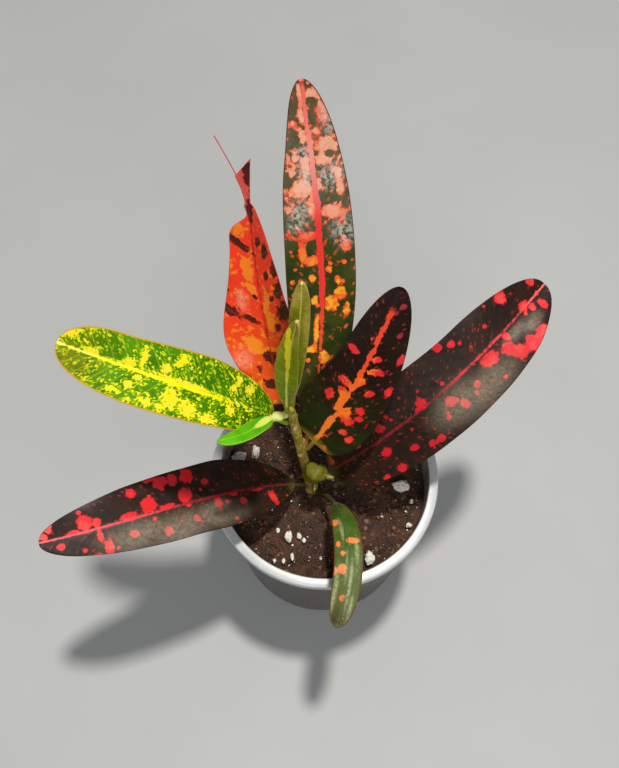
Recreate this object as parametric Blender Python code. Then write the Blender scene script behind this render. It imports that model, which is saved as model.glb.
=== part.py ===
"""A potted croton: a white nursery pot, its peat and perlite, one short woody stem,
a side shoot and ten leaves. Metres, +Z up, the pot's underside centred on the origin."""

import math

import bmesh
import bpy
from mathutils import Matrix, Vector, noise

MM = 0.001
GAP = 0.3 * MM

# Pot: a thin tapered wall with a flat lip that turns down at its outer edge.
POT_HEIGHT = 76 * MM
LIP_RADIUS = 45 * MM
LIP_TURN_DOWN = 3.4 * MM
LIP_THICKNESS = 0.9 * MM
WALL_TOP_RADIUS = 42 * MM
WALL_BASE_RADIUS = 38 * MM
WALL_THICKNESS = 0.8 * MM
FLOOR_THICKNESS = 1.2 * MM
CORNER = 0.8 * MM
POT_SIDES = 64
DRAIN_HOLES = 5
DRAIN_RADIUS = 3.5 * MM
DRAIN_CIRCLE = 24 * MM

# Soil: a plug of peat with a lumpy top, and a socket that holds the stem.
SOIL_TOP = 65 * MM
SOIL_LUMP = 0.8 * MM
SOIL_LUMP_SPACING = 5 * MM
SOIL_SIDES = 40
SOIL_RINGS = 9
SOCKET_DEPTH = 12 * MM
SOCKET_MOUTH = 4 * MM
SOCKET_ROOM = 1 * MM

# Stem: leans a little to the left and back, with a knuckle at each old leaf scar.
STEM_FOOT = Vector((-4.8, -3.0, 65)) * MM
STEM_TIP = Vector((-12.5, 5.0, 127)) * MM
STEM_FOOT_RADIUS = 1.9 * MM
STEM_TIP_RADIUS = 1.5 * MM
STEM_SCARS = (68, 84, 90, 104, 110)
SCAR_SWELL = 0.3 * MM
STEM_SIDES = 12
STEM_RINGS = 40
SCAR_LENGTH = 1.2
SOCKET_RADIUS = STEM_FOOT_RADIUS + 2 * GAP

# Leaves: the blade is a thin plate on a round stalk.
STALK_RADIUS = 0.9 * MM
BLADE_THICKNESS = 0.6 * MM
RIB_EXTRA = 0.5 * MM
RIB_SHARE = 0.25
EDGE_BLUNTNESS = 2.5
TIP_HALF_WIDTH = 0.35 * MM
STALK_FADE = 0.1
LOBE_SLANT = 3.5 * MM
LEAF_SIDES = 14
LEAF_RINGS = 28

# Side shoot: a heart, and arms given by their end, their radius at the heart and at the end.
SHOOT_CENTRE = (-2.9, -3.2, 88.5)
SHOOT_RADII = (3.2, 2.9, 2.8)
SHOOT_ARMS = (
    ((-5.5, -1.6, 86.5), 1.5, 0.9),
    ((-3.7, -8.9, 82.5), 1.6, 0.6),
    ((3.6, -5.6, 87.0), 1.5, 0.5),
)


class Leaf:
    """One leaf. Lengths are in millimetres and angles in degrees. Heading turns from +X to +Y,
    rise is above the horizon, and roll turns the blade about its rib. Each of heading and
    rise is given at the stem, half way along and at the tip. A swell widens one side, 1 for
    left or -1 for right, about a share of the blade, by a spread and a size."""

    def __init__(self, name, colour, height, heading, rise, roll, length, stalk, half_width, **shape):
        self.name = name
        self.colour = colour
        self.height = height * MM
        self.heading = heading
        self.rise = rise
        self.roll = roll
        self.length = length * MM
        self.stalk = stalk * MM
        self.half_width = half_width * MM
        self.widest = shape.get("widest", 0.45)
        self.base = shape.get("base", 0.6)
        self.tip = shape.get("tip", 2.0)
        self.fold = math.radians(shape.get("fold", 12))
        self.foot_shift = Vector(shape.get("foot_shift", (0, 0, 0))) * MM
        self.curl = shape.get("curl")
        self.swells = shape.get("swells", ())


class Curl:
    """The end of a twisted leaf: a narrow neck, a one-sided lobe and a fine thread."""

    def __init__(self, neck, neck_width, lobe, lobe_width, thread_radius, turn):
        self.neck = neck * MM
        self.neck_width = neck_width * MM
        self.lobe = lobe * MM
        self.lobe_width = lobe_width * MM
        self.thread_radius = thread_radius * MM
        self.turn = turn


LEAVES = (
    Leaf("leaf_back", (0.45, 0.16, 0.07), 95, (70, 94, 112), (46, 57, 69.5), (1.8, -5.7),
         135, 10, 12.2, widest=0.48, base=0.5, tip=1.95,
         swells=((-1, 0.5, 0.3, -0.5), (1, 0.88, 0.1, -0.9))),
    Leaf("leaf_red_twisted", (0.66, 0.11, 0.03), 120, (123, 102, 98), (61, 63, 52), (-11, -50),
         103, 5, 13.4, widest=0.35, base=0.5, tip=1.3, curl=Curl(81, 1.0, 9, 5.6, 0.3, 40),
         swells=((-1, 0.15, 0.2, -4.0), (-1, 0.65, 0.3, -2.0),
                 (1, 0.24, 0.1, -1.4), (1, 0.42, 0.1, 0.8), (1, 0.7, 0.12, -1.2),
                 (1, 0.86, 0.05, 0.9), (1, 0.95, 0.04, -4.0))),
    Leaf("leaf_lime", (0.33, 0.42, 0.02), 119, (194, 175, 159), (58, 33, 2), (-10, -18),
         87, 7, 11.6, widest=0.37, base=0.42, tip=3.8,
         swells=((1, 0.25, 0.25, -1.6), (-1, 0.7, 0.15, -1.2))),
    Leaf("leaf_low_left", (0.06, 0.02, 0.02), 72, (197, 204.5, 194), (41, 22.5, 4), (-5, -11),
         105, 4.6, 12.8, widest=0.36, base=0.6, tip=2.2),
    Leaf("leaf_right", (0.06, 0.02, 0.02), 75, (7, 33, 49), (47, 31.5, 14), (12, 26),
         117, 7.7, 15.8, widest=0.41, base=0.35, tip=3.0, swells=((1, 0.6, 0.15, -1.0),)),
    Leaf("leaf_middle", (0.05, 0.03, 0.02), 97, (30, 51, 62), (51, 46, 43), (18, 17),
         72, 3.9, 14.6, widest=0.28, base=0.3, tip=1.4, swells=((1, 0.55, 0.2, -1.8),)),
    Leaf("leaf_front", (0.09, 0.16, 0.05), 69, (-44.5, -82.5, -110.5), (54, 24, -40.5), (1.5, 3.3),
         71.7, 19, 5.2, widest=0.5, base=0.3, tip=4.0, fold=-8),
    Leaf("leaf_young_front", (0.20, 0.25, 0.03), 128, (94, 60, 36), (85, 81, 75), (-2, -2),
         50, 2.5, 4.3, widest=0.5, base=0.6, tip=1.8, foot_shift=(-1.0, -1.3, 0)),
    Leaf("leaf_young_back", (0.28, 0.22, 0.05), 128, (72, 72.5, 81), (80, 76, 78), (-1, -1),
         58, 4.0, 3.4, widest=0.64, base=0.5, tip=2.4, foot_shift=(0.9, 1.4, 0)),
    Leaf("leaf_small_green", (0.12, 0.42, 0.02), 125, (212, 232, 191), (43, 38, 19), (2, 1),
         34.5, 7.7, 3.1, widest=0.4, base=0.4, tip=1.95),
)

# Perlite: pale crumbs that lie on the peat, each with its place and its three sizes in mm.
GRAINS = (
    ((-34.4, 10.8), (5.8, 4.0, 3.2)),
    ((-27.8, 12.7), (3.2, 5.6, 3.0)),
    ((31.0, -2.0), (8.4, 5.0, 3.8)),
    ((35.0, -8.3), (2.0, 2.1, 1.8)),
    ((33.4, -18.2), (2.6, 2.2, 1.9)),
    ((17.2, -31.6), (3.8, 6.0, 3.4)),
    ((-13.9, -22.6), (3.0, 4.8, 2.9)),
    ((-10.0, -22.4), (2.3, 2.4, 1.9)),
    ((-8.0, -24.2), (1.6, 2.4, 1.5)),
    ((-12.6, -30.5), (1.4, 3.2, 1.3)),
    ((-15.9, -32.0), (1.5, 2.4, 1.4)),
    ((-19.5, -32.4), (1.5, 1.9, 1.3)),
    ((-18.2, -20.2), (1.5, 2.0, 1.4)),
)


def clear_scene():
    for item in list(bpy.data.objects):
        bpy.data.objects.remove(item, do_unlink=True)


def material(name, colour, roughness, metallic=0.0):
    made = bpy.data.materials.new(name)
    made.use_nodes = True
    shader = made.node_tree.nodes["Principled BSDF"]
    shader.inputs["Base Color"].default_value = (*colour, 1.0)
    shader.inputs["Roughness"].default_value = roughness
    shader.inputs["Metallic"].default_value = metallic
    return made


def finish(mesh, name, colour, roughness, smooth=True):
    """Turns a bmesh into a named object with its own material."""
    bmesh.ops.recalc_face_normals(mesh, faces=mesh.faces)
    data = bpy.data.meshes.new(name)
    mesh.to_mesh(data)
    mesh.free()
    for face in data.polygons:
        face.use_smooth = smooth
    made = bpy.data.objects.new(name, data)
    made.data.materials.append(material(name + "_finish", colour, roughness))
    bpy.context.scene.collection.objects.link(made)
    return made


def cutter(mesh, name):
    """An object that only shapes others, so it isn't a piece itself."""
    made = finish(mesh, name, (1.0, 0.0, 0.0), 0.5)
    made.hide_render = True
    made.display_type = "WIRE"
    return made


def boolean(target, tool, operation):
    step = target.modifiers.new(operation.lower() + "_" + tool.name, "BOOLEAN")
    step.operation = operation
    step.object = tool
    step.solver = "EXACT"


def bridge(mesh, rings):
    """Joins rings of equal count into a closed skin, with a flat cap at each end."""
    count = len(rings[0])
    for low, high in zip(rings, rings[1:]):
        for i in range(count):
            j = (i + 1) % count
            mesh.faces.new((low[i], low[j], high[j], high[i]))
    mesh.faces.new(rings[0][::-1])
    mesh.faces.new(rings[-1])


def turned(profile, sides):
    """Spins a closed outline of (radius, height) points about the Z axis."""
    mesh = bmesh.new()
    points = [mesh.verts.new((radius, 0, height)) for radius, height in profile]
    edges = [mesh.edges.new(pair) for pair in zip(points, points[1:])]
    bmesh.ops.spin(mesh, geom=points + edges, axis=(0, 0, 1), cent=(0, 0, 0),
                   angle=math.tau, steps=sides, use_merge=True)
    bmesh.ops.remove_doubles(mesh, verts=mesh.verts, dist=0.01 * MM)
    return mesh


def wall_radius(height):
    """The radius of the pot wall's outer face at a height."""
    share = height / POT_HEIGHT
    return WALL_BASE_RADIUS + (WALL_TOP_RADIUS - WALL_BASE_RADIUS) * share


def make_pot():
    lip_under = POT_HEIGHT - LIP_THICKNESS
    skirt_end = POT_HEIGHT - LIP_TURN_DOWN
    skirt_inside = LIP_RADIUS - LIP_THICKNESS
    rounding = 0.4 * MM
    inside_top = wall_radius(POT_HEIGHT) - WALL_THICKNESS
    outline = (
        (0, 0),
        (WALL_BASE_RADIUS - CORNER, 0),
        (wall_radius(CORNER), CORNER),
        (wall_radius(lip_under), lip_under),
        (skirt_inside, lip_under),
        (skirt_inside, skirt_end),
        (LIP_RADIUS, skirt_end),
        (LIP_RADIUS, POT_HEIGHT - rounding),
        (LIP_RADIUS - rounding, POT_HEIGHT),
        (inside_top + rounding, POT_HEIGHT),
        (inside_top, POT_HEIGHT - rounding),
        (wall_radius(FLOOR_THICKNESS) - WALL_THICKNESS, FLOOR_THICKNESS),
        (0, FLOOR_THICKNESS),
    )
    pot = finish(turned(outline, POT_SIDES), "pot", (0.62, 0.62, 0.60), 0.35)
    holes = bmesh.new()
    for i in range(DRAIN_HOLES):
        turn = Matrix.Rotation(math.tau * i / DRAIN_HOLES, 4, "Z")
        place = turn @ Matrix.Translation((0, DRAIN_CIRCLE, FLOOR_THICKNESS / 2))
        bmesh.ops.create_cone(holes, cap_ends=True, segments=16, radius1=DRAIN_RADIUS,
                              radius2=DRAIN_RADIUS, depth=3 * FLOOR_THICKNESS, matrix=place)
    boolean(pot, cutter(holes, "drain_cutter"), "DIFFERENCE")


def soil_height(x, y):
    """The lumpy top of the peat."""
    place = Vector((x, y, 0)) / SOIL_LUMP_SPACING
    return SOIL_TOP + SOIL_LUMP * noise.noise(place)


def make_soil():
    bottom = FLOOR_THICKNESS + GAP
    inset = WALL_THICKNESS + GAP
    top_radius = wall_radius(SOIL_TOP - SOIL_LUMP) - inset
    mesh = bmesh.new()
    rings = []
    for step in range(SOIL_RINGS, 0, -1):
        radius = top_radius * step / SOIL_RINGS
        ring = []
        for i in range(SOIL_SIDES):
            turn = math.tau * i / SOIL_SIDES
            x = radius * math.cos(turn)
            y = radius * math.sin(turn)
            height = SOIL_TOP - SOIL_LUMP if step == SOIL_RINGS else soil_height(x, y)
            ring.append(mesh.verts.new((x, y, height)))
        rings.append(ring)
    foot = wall_radius(bottom) - inset
    low = []
    for i in range(SOIL_SIDES):
        turn = math.tau * i / SOIL_SIDES
        low.append(mesh.verts.new((foot * math.cos(turn), foot * math.sin(turn), bottom)))
    bridge(mesh, [low] + rings)
    soil = finish(mesh, "soil", (0.035, 0.018, 0.010), 0.95)
    socket = bmesh.new()
    centre = stem_point(SOIL_TOP + (SOCKET_MOUTH - SOCKET_DEPTH) / 2)
    bmesh.ops.create_cone(socket, cap_ends=True, segments=20, depth=SOCKET_DEPTH + SOCKET_MOUTH,
                          radius1=SOCKET_RADIUS, radius2=SOCKET_RADIUS,
                          matrix=Matrix.Translation(centre) @ stem_tilt())
    boolean(soil, cutter(socket, "socket_cutter"), "DIFFERENCE")


def stem_point(height):
    """The stem's centre at a height, on a straight line from foot to tip."""
    share = (height - STEM_FOOT.z) / (STEM_TIP.z - STEM_FOOT.z)
    return STEM_FOOT.lerp(STEM_TIP, share)


def stem_tilt():
    return (STEM_TIP - STEM_FOOT).to_track_quat("Z", "Y").to_matrix().to_4x4()


def stem_radius(height):
    share = (height - STEM_FOOT.z) / (STEM_TIP.z - STEM_FOOT.z)
    radius = STEM_FOOT_RADIUS + (STEM_TIP_RADIUS - STEM_FOOT_RADIUS) * max(share, 0)
    for scar in STEM_SCARS:
        radius += SCAR_SWELL * math.exp(-(((height / MM - scar) / SCAR_LENGTH) ** 2))
    return radius


def make_stem():
    low = SOIL_TOP - SOCKET_DEPTH + SOCKET_ROOM
    tilt = stem_tilt()
    mesh = bmesh.new()
    rings = []
    for step in range(STEM_RINGS + 1):
        height = low + (STEM_TIP.z - low) * step / STEM_RINGS
        centre = stem_point(height)
        radius = stem_radius(height)
        ring = []
        for i in range(STEM_SIDES):
            turn = math.tau * i / STEM_SIDES
            across = Vector((math.cos(turn), math.sin(turn), 0)) * radius
            ring.append(mesh.verts.new(centre + tilt @ across))
        rings.append(ring)
    bridge(mesh, rings)
    finish(mesh, "main_stem", (0.16, 0.13, 0.06), 0.7)


def along_three(values, share):
    """A smooth value through three given ones, at the start, the middle and the end."""
    start, middle, end = values
    bow = middle - (start + end) / 2
    return start + (end - start) * share + bow * 4 * share * (1 - share)


def half_width(leaf, share):
    """The blade's half width at a share of the blade's own length."""
    if share < leaf.widest:
        full = math.sin(math.pi / 2 * share / leaf.widest) ** leaf.base
    else:
        past = min((share - leaf.widest) / (1 - leaf.widest), 1)
        full = math.sqrt(1 - past ** leaf.tip)
    return leaf.half_width * full


def swell(leaf, side, share):
    """How much wider one side is than the plain outline, at a share of the blade."""
    total = 0
    for swelling, middle, spread, size in leaf.swells:
        if swelling == side:
            total += size * MM * math.exp(-(((share - middle) / spread) ** 2))
    return total * math.sqrt(min((1 - share) * 12, 1))


def side_widths(leaf, distance):
    """The leaf's reach to its left and right of the rib, at a distance from the stem."""
    if distance <= leaf.stalk:
        return STALK_RADIUS, STALK_RADIUS
    end = leaf.curl.neck if leaf.curl else leaf.length
    share = (distance - leaf.stalk) / (end - leaf.stalk)
    if share <= 1:
        thinnest = leaf.curl.neck_width if leaf.curl else TIP_HALF_WIDTH
        stalk_left = STALK_RADIUS * max(0, 1 - share / STALK_FADE)
        plain = half_width(leaf, share)
        left = max(plain + swell(leaf, 1, share), stalk_left, thinnest)
        right = max(plain + swell(leaf, -1, share), stalk_left, thinnest)
        return left, right
    past = (distance - leaf.curl.neck) / leaf.curl.lobe
    if past <= 1:
        spread = leaf.curl.lobe_width * past ** 1.4
        return leaf.curl.neck_width * (1 - 0.5 * past), leaf.curl.neck_width + spread
    return leaf.curl.thread_radius, leaf.curl.thread_radius


def lobe_share(leaf, distance):
    """How far along a curled leaf's lobe a distance lies, and 0 outside the lobe."""
    if not leaf.curl:
        return 0
    past = (distance - leaf.curl.neck) / leaf.curl.lobe
    return past if 0 < past <= 1 else 0


def leaf_distances(leaf):
    """Where the rings stand: evenly, with more of them where the outline turns fast."""
    end = leaf.curl.neck if leaf.curl else leaf.length
    blade = end - leaf.stalk
    places = [0.0, leaf.stalk * 0.5, leaf.stalk]
    for i in range(1, LEAF_RINGS + 1):
        share = 0.5 - 0.5 * math.cos(math.pi * i / LEAF_RINGS)
        places.append(leaf.stalk + blade * share)
    if leaf.curl:
        for share in (0.25, 0.5, 0.75, 1.0, 1.04, 1.5, 2.0):
            places.append(end + leaf.curl.lobe * share)
        places.append(leaf.length)
    return places


def leaf_path(leaf, steps=240):
    """The rib's points and directions, walked in short equal steps from the stem."""
    heading = math.radians(leaf.heading[0])
    out = Vector((math.cos(heading), math.sin(heading), 0))
    if leaf.foot_shift.length > 0:
        place = STEM_TIP + leaf.foot_shift + Vector((0, 0, leaf.height - STEM_TIP.z + GAP))
    else:
        reach = stem_radius(leaf.height) + GAP + STALK_RADIUS
        place = stem_point(leaf.height) + out * reach
    path = []
    for step in range(steps + 1):
        share = step / steps
        turn = along_three(leaf.heading, share)
        if leaf.curl:
            past = (share * leaf.length - leaf.curl.neck) / leaf.curl.lobe
            turn += leaf.curl.turn * min(max(past + 0.3, 0), 1)
        turn = math.radians(turn)
        rise = math.radians(along_three(leaf.rise, share))
        along = Vector((math.cos(rise) * math.cos(turn), math.cos(rise) * math.sin(turn), math.sin(rise)))
        if path:
            place = place + (along + path[-1][1]).normalized() * (leaf.length / steps)
        path.append((place, along, turn))
    return path


def leaf_ring(leaf, path, distance):
    """The closed outline of the leaf's section at a distance from the stem."""
    share = distance / leaf.length
    step = share * (len(path) - 1)
    index = min(int(step), len(path) - 2)
    mix = step - index
    place = path[index][0].lerp(path[index + 1][0], mix)
    along = path[index][1].lerp(path[index + 1][1], mix).normalized()
    turn = path[index][2] + (path[index + 1][2] - path[index][2]) * mix
    level = Vector((-math.sin(turn), math.cos(turn), 0))
    roll = math.radians(leaf.roll[0] + (leaf.roll[1] - leaf.roll[0]) * share)
    side = Matrix.Rotation(roll, 3, along) @ level
    up = along.cross(side)
    left, right = side_widths(leaf, distance)
    flat = min(max((max(left, right) - STALK_RADIUS) / (2 * STALK_RADIUS), 0), 1)
    ring = []
    for i in range(LEAF_SIDES):
        around = math.tau * i / LEAF_SIDES
        across = math.cos(around)
        above = math.sin(around)
        reach = across * (left if across > 0 else right)
        rib = RIB_EXTRA * max(0, 1 - abs(across) / RIB_SHARE) * (1 - share)
        plate = (BLADE_THICKNESS / 2 + rib) * max(-1, min(1, above * EDGE_BLUNTNESS))
        rod = min(STALK_RADIUS, max(left, right)) * above
        thick = rod + (plate - rod) * flat
        lift = math.tan(leaf.fold) * abs(reach) * flat
        slant = lobe_share(leaf, distance) * max(-across, 0) * LOBE_SLANT
        ring.append(place + side * reach + up * (thick + lift) + along * slant)
    return ring


def make_leaf(leaf):
    path = leaf_path(leaf)
    mesh = bmesh.new()
    rings = []
    for distance in leaf_distances(leaf):
        rings.append([mesh.verts.new(point) for point in leaf_ring(leaf, path, distance)])
    bridge(mesh, rings)
    finish(mesh, leaf.name, leaf.colour, 0.3)


def make_side_shoot():
    """A bud low on the stem: a plump heart, a stub beside the stem and two short leaflets."""
    centre = Vector(SHOOT_CENTRE) * MM
    heart = bmesh.new()
    shape = Matrix.Translation(centre) @ Matrix.Diagonal((*(Vector(SHOOT_RADII) * MM), 1))
    bmesh.ops.create_icosphere(heart, subdivisions=3, radius=1, matrix=shape)
    shoot = finish(heart, "side_shoot", (0.17, 0.17, 0.02), 0.5)
    for number, (end, wide, narrow) in enumerate(SHOOT_ARMS, 1):
        tip = Vector(end) * MM
        arm = bmesh.new()
        tilt = (tip - centre).to_track_quat("Z", "Y").to_matrix().to_4x4()
        place = Matrix.Translation((centre + tip) / 2) @ tilt
        bmesh.ops.create_cone(arm, cap_ends=True, segments=12, radius1=wide * MM,
                              radius2=narrow * MM, depth=(tip - centre).length, matrix=place)
        boolean(shoot, cutter(arm, f"shoot_arm_{number}"), "UNION")


def make_grain(number, place, sizes):
    """One crumb of perlite: a ball pushed out of shape, partly clear of the peat."""
    x, y = place[0] * MM, place[1] * MM
    mesh = bmesh.new()
    bmesh.ops.create_icosphere(mesh, subdivisions=2, radius=0.5)
    for vert in mesh.verts:
        vert.co *= 1 + 0.5 * noise.noise(vert.co * 2.4 + Vector((number * 7.3, 0, 0)))
        vert.co = Vector((vert.co.x * sizes[0], vert.co.y * sizes[1], vert.co.z * sizes[2])) * MM
    lowest = min(vert.co.z for vert in mesh.verts)
    ground = SOIL_TOP + SOIL_LUMP * 0.9
    bmesh.ops.translate(mesh, verts=mesh.verts, vec=(x, y, ground + GAP - lowest))
    finish(mesh, f"perlite_grain_{number:02d}", (0.78, 0.76, 0.70), 0.9)


def main():
    clear_scene()
    make_pot()
    make_soil()
    make_stem()
    make_side_shoot()
    for leaf in LEAVES:
        make_leaf(leaf)
    for number, (place, sizes) in enumerate(GRAINS, 1):
        make_grain(number, place, sizes)


main()
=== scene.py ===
"""The looks of a potted croton: fine leaves with their markings, bark, peat, perlite and the pot.
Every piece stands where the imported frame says, in metres, with +Z up."""

import math
import random
from typing import NamedTuple

import bmesh
import bpy
import numpy as np
from bpy.props import FloatProperty, FloatVectorProperty, IntProperty, PointerProperty
from mathutils import Matrix, Vector, noise


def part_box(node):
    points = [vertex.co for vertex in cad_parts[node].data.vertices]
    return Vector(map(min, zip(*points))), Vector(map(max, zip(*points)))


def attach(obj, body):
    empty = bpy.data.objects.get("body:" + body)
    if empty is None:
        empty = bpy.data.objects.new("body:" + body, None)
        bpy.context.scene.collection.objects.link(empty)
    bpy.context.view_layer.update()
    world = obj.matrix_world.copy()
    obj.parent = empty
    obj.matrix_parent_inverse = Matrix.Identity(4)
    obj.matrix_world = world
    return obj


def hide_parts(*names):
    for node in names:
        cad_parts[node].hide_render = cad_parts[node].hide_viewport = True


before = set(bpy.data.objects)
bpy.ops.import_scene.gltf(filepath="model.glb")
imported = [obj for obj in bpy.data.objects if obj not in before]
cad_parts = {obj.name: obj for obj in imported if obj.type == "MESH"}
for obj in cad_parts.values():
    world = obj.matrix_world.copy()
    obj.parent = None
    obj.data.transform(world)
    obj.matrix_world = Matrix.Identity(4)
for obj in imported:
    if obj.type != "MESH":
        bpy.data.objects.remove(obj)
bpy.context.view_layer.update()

bl_info = {
    "name": "Potted Croton",
    "version": (1, 0, 0),
    "blender": (4, 5, 0),
    "location": "3D View > Sidebar > Croton",
    "description": "Builds the pot, peat, stem and marked leaves of a young croton",
    "category": "Add Mesh",
}

MM = 0.001
BODY = "root"


# ---------------------------------------------------------------- shader maths


def sum_node(operation, turned_round=False):
    """A method that puts a wire and another value through one Math node."""

    def method(self, other):
        pair = [other, self] if turned_round else [self, other]
        return self.finish.node("ShaderNodeMath", {"operation": operation}, pair)

    return method


class Wire:
    """A socket's value that takes part in sums; each operator adds one Math node."""

    __add__ = sum_node("ADD")
    __radd__ = sum_node("ADD", True)
    __sub__ = sum_node("SUBTRACT")
    __rsub__ = sum_node("SUBTRACT", True)
    __mul__ = sum_node("MULTIPLY")
    __rmul__ = sum_node("MULTIPLY", True)
    __pow__ = sum_node("POWER")
    most = sum_node("MAXIMUM")
    least = sum_node("MINIMUM")

    def __init__(self, finish, socket):
        self.finish = finish
        self.socket = socket

    def step(self, low, high):
        """0 below low, 1 above high, and smooth between them."""
        settings = {"interpolation_type": "SMOOTHSTEP", "clamp": True}
        values = {"Value": self, "From Min": low, "From Max": high}
        return self.finish.node("ShaderNodeMapRange", settings, values)


class Finish:
    """A material under construction, with a method for each kind of node it uses."""

    def __init__(self, name):
        self.material = bpy.data.materials.new(name)
        self.material.use_nodes = True
        self.tree = self.material.node_tree
        self.tree.nodes.clear()

    def node(self, kind, settings=None, values=None, output=0):
        """Adds a node: its settings first, then its sockets' values or links."""
        made = self.tree.nodes.new(kind)
        for name, value in (settings or {}).items():
            if name == "stops":
                self._set_stops(made.color_ramp, value)
            else:
                setattr(made, name, value)
        items = values.items() if isinstance(values, dict) else enumerate(values or [])
        for name, value in items:
            if isinstance(value, Wire):
                self.tree.links.new(value.socket, made.inputs[name])
            else:
                made.inputs[name].default_value = value
        return Wire(self, made.outputs[output]) if made.outputs else None

    @staticmethod
    def _set_stops(ramp, stops):
        while len(ramp.elements) > 1:
            ramp.elements.remove(ramp.elements[-1])
        for number, (place, colour) in enumerate(stops):
            stop = ramp.elements[0] if number == 0 else ramp.elements.new(place)
            stop.position = place
            stop.color = (*colour[:3], 1)

    def attribute(self, name, output="Fac"):
        return self.node("ShaderNodeAttribute", {"attribute_name": name}, output=output)

    def place(self):
        return self.node("ShaderNodeTexCoord", output="Object")

    def split(self, vector):
        made = self.node("ShaderNodeSeparateXYZ", values=[vector])
        return [Wire(self, made.socket.node.outputs[i]) for i in range(3)]

    def join(self, x, y, z=0.0):
        return self.node("ShaderNodeCombineXYZ", values=[x, y, z])

    def scaled(self, vector, by):
        settings = {"operation": "MULTIPLY"}
        return self.node("ShaderNodeVectorMath", settings, [vector, by])

    def noise(self, vector, scale, detail=2.0, rough=0.5):
        values = {"Vector": vector, "Scale": scale, "Detail": detail, "Roughness": rough}
        return self.node("ShaderNodeTexNoise", values=values)

    def cells(self, vector, scale, output):
        values = {"Vector": vector, "Scale": scale}
        return self.node("ShaderNodeTexVoronoi", values=values, output=output)

    def ramp(self, value, stops):
        return self.node("ShaderNodeValToRGB", {"stops": stops}, [value])

    def mix(self, share, first, second):
        """Colours mixed by share, from first at 0 to second at 1."""
        made = self.node("ShaderNodeMix", {"data_type": "RGBA"}, output=2)
        inputs = made.socket.node.inputs
        for name, value in ((0, share), (6, first), (7, second)):
            if isinstance(value, Wire):
                self.tree.links.new(value.socket, inputs[name])
            elif name == 0:
                inputs[name].default_value = value
            else:
                inputs[name].default_value = (*value[:3], 1)
        return made

    def bump(self, height, distance, strength):
        values = {"Height": height, "Distance": distance, "Strength": strength}
        return self.node("ShaderNodeBump", values=values)

    def surface(self, **sockets):
        """Closes the material with a Principled shader; names use _ for spaces."""
        values = {name.replace("_", " "): value for name, value in sockets.items()}
        for name, value in values.items():
            if name.endswith("Color") and not isinstance(value, Wire):
                values[name] = (*value[:3], 1)
        shader = self.node("ShaderNodeBsdfPrincipled", values=values)
        self.node("ShaderNodeOutputMaterial", values={"Surface": shader})
        return self.material


def paint(red, green, blue):
    """A colour in the usual 0 to 255 values, turned into the linear values that shaders take."""
    linear = []
    for level in (red, green, blue):
        share = level / 255
        linear.append(share / 12.92 if share < 0.04 else ((share + 0.055) / 1.055) ** 2.4)
    return tuple(linear)


# ---------------------------------------------------------------- settings


def length(name, description, default):
    return FloatProperty(name=name, description=description, default=default, unit="LENGTH",
                         subtype="DISTANCE", precision=5, min=0)


def colour(name, description, default):
    return FloatVectorProperty(name=name, description=description, default=default,
                               subtype="COLOR", size=3, min=0, max=1)


class PotSettings(bpy.types.PropertyGroup):
    sides: IntProperty(name="Sides", description="Faces around the pot", default=160, min=24)
    lip_bead: length("Lip bead", "Radius of the bead at the lip's outer edge", 0.45 * MM)
    lip_colour: colour("Lip colour", "Milky plastic of the lip", paint(200, 203, 204))
    wall_colour: colour("Wall colour", "Clear wall with damp peat behind it", paint(72, 63, 58))


class PeatSettings(bpy.types.PropertyGroup):
    lump: length("Lump height", "Height of the peat's larger lumps", 0.8 * MM)
    crumb: length("Crumb size", "Size of the largest crumbs", 2.3 * MM)
    crumbs: IntProperty(name="Crumbs", description="Number of loose crumbs", default=950, min=0)
    fibres: IntProperty(name="Fibres", description="Number of loose fibres", default=260, min=0)
    specks: IntProperty(name="Specks", description="Number of pale specks", default=170, min=0)
    dark: colour("Dark peat", "Damp peat in the hollows", paint(28, 15, 9))
    light: colour("Light peat", "Dry crumbs and fibres", paint(146, 94, 62))


class StemSettings(bpy.types.PropertyGroup):
    ridge: length("Bark ridge", "Height of the bark's ridges", 0.3 * MM)
    scar: length("Scar height", "How far a leaf scar stands out", 0.65 * MM)
    bark: colour("Bark", "Woody lower stem", paint(150, 116, 48))
    green: colour("Green stem", "Young upper stem", paint(158, 142, 36))


class LeafSettings(bpy.types.PropertyGroup):
    thickness: length("Thickness", "Thickness of the blade", 0.36 * MM)
    wave: length("Margin wave", "Height of the waves along the margin", 0.45 * MM)
    quilt: length("Quilting", "Depth of the furrow over each side vein", 0.03 * MM)
    lobe_slant: length("Lobe slant", "How far the curled lobe's outer corner leans ahead", 3.5 * MM)
    vein_spacing: length("Vein spacing", "Distance between side veins", 5.2 * MM)
    rings: IntProperty(name="Rings", description="Sections along a long leaf", default=190, min=20)
    points: IntProperty(name="Points", description="Points round a section", default=104, min=16)


class StageSettings(bpy.types.PropertyGroup):
    floor: colour("Floor", "Plain pale floor", paint(176, 177, 177))
    key_power: FloatProperty(name="Key power", description="Ceiling light in watts", default=28)
    fill_power: FloatProperty(name="Fill power", description="Front fill in watts", default=2.8)
    sky: FloatProperty(name="Sky", description="Strength of the even light", default=0.2)
    lens: FloatProperty(name="Lens", description="Camera lens", default=39.84 * MM, unit="CAMERA")


# ---------------------------------------------------------------- mesh helpers


def new_piece(name, points, faces, material, slot, stands_for=(), **numbers):
    """A mesh piece on the frame's body, with a point attribute for each named array."""
    data = bpy.data.meshes.new(name)
    data.from_pydata(np.asarray(points).tolist(), [], faces)
    data.shade_smooth()
    for label, values in numbers.items():
        values = np.asarray(values, np.float32)
        kind = "FLOAT_VECTOR" if values.ndim == 2 else "FLOAT"
        field = "vector" if values.ndim == 2 else "value"
        data.attributes.new(label, kind, "POINT").data.foreach_set(field, values.ravel())
    data.materials.append(material)
    piece = bpy.data.objects.new(name, data)
    bpy.context.scene.collection.objects.link(piece)
    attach(piece, BODY)
    if stands_for:
        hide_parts(*stands_for)
    return piece


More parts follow.
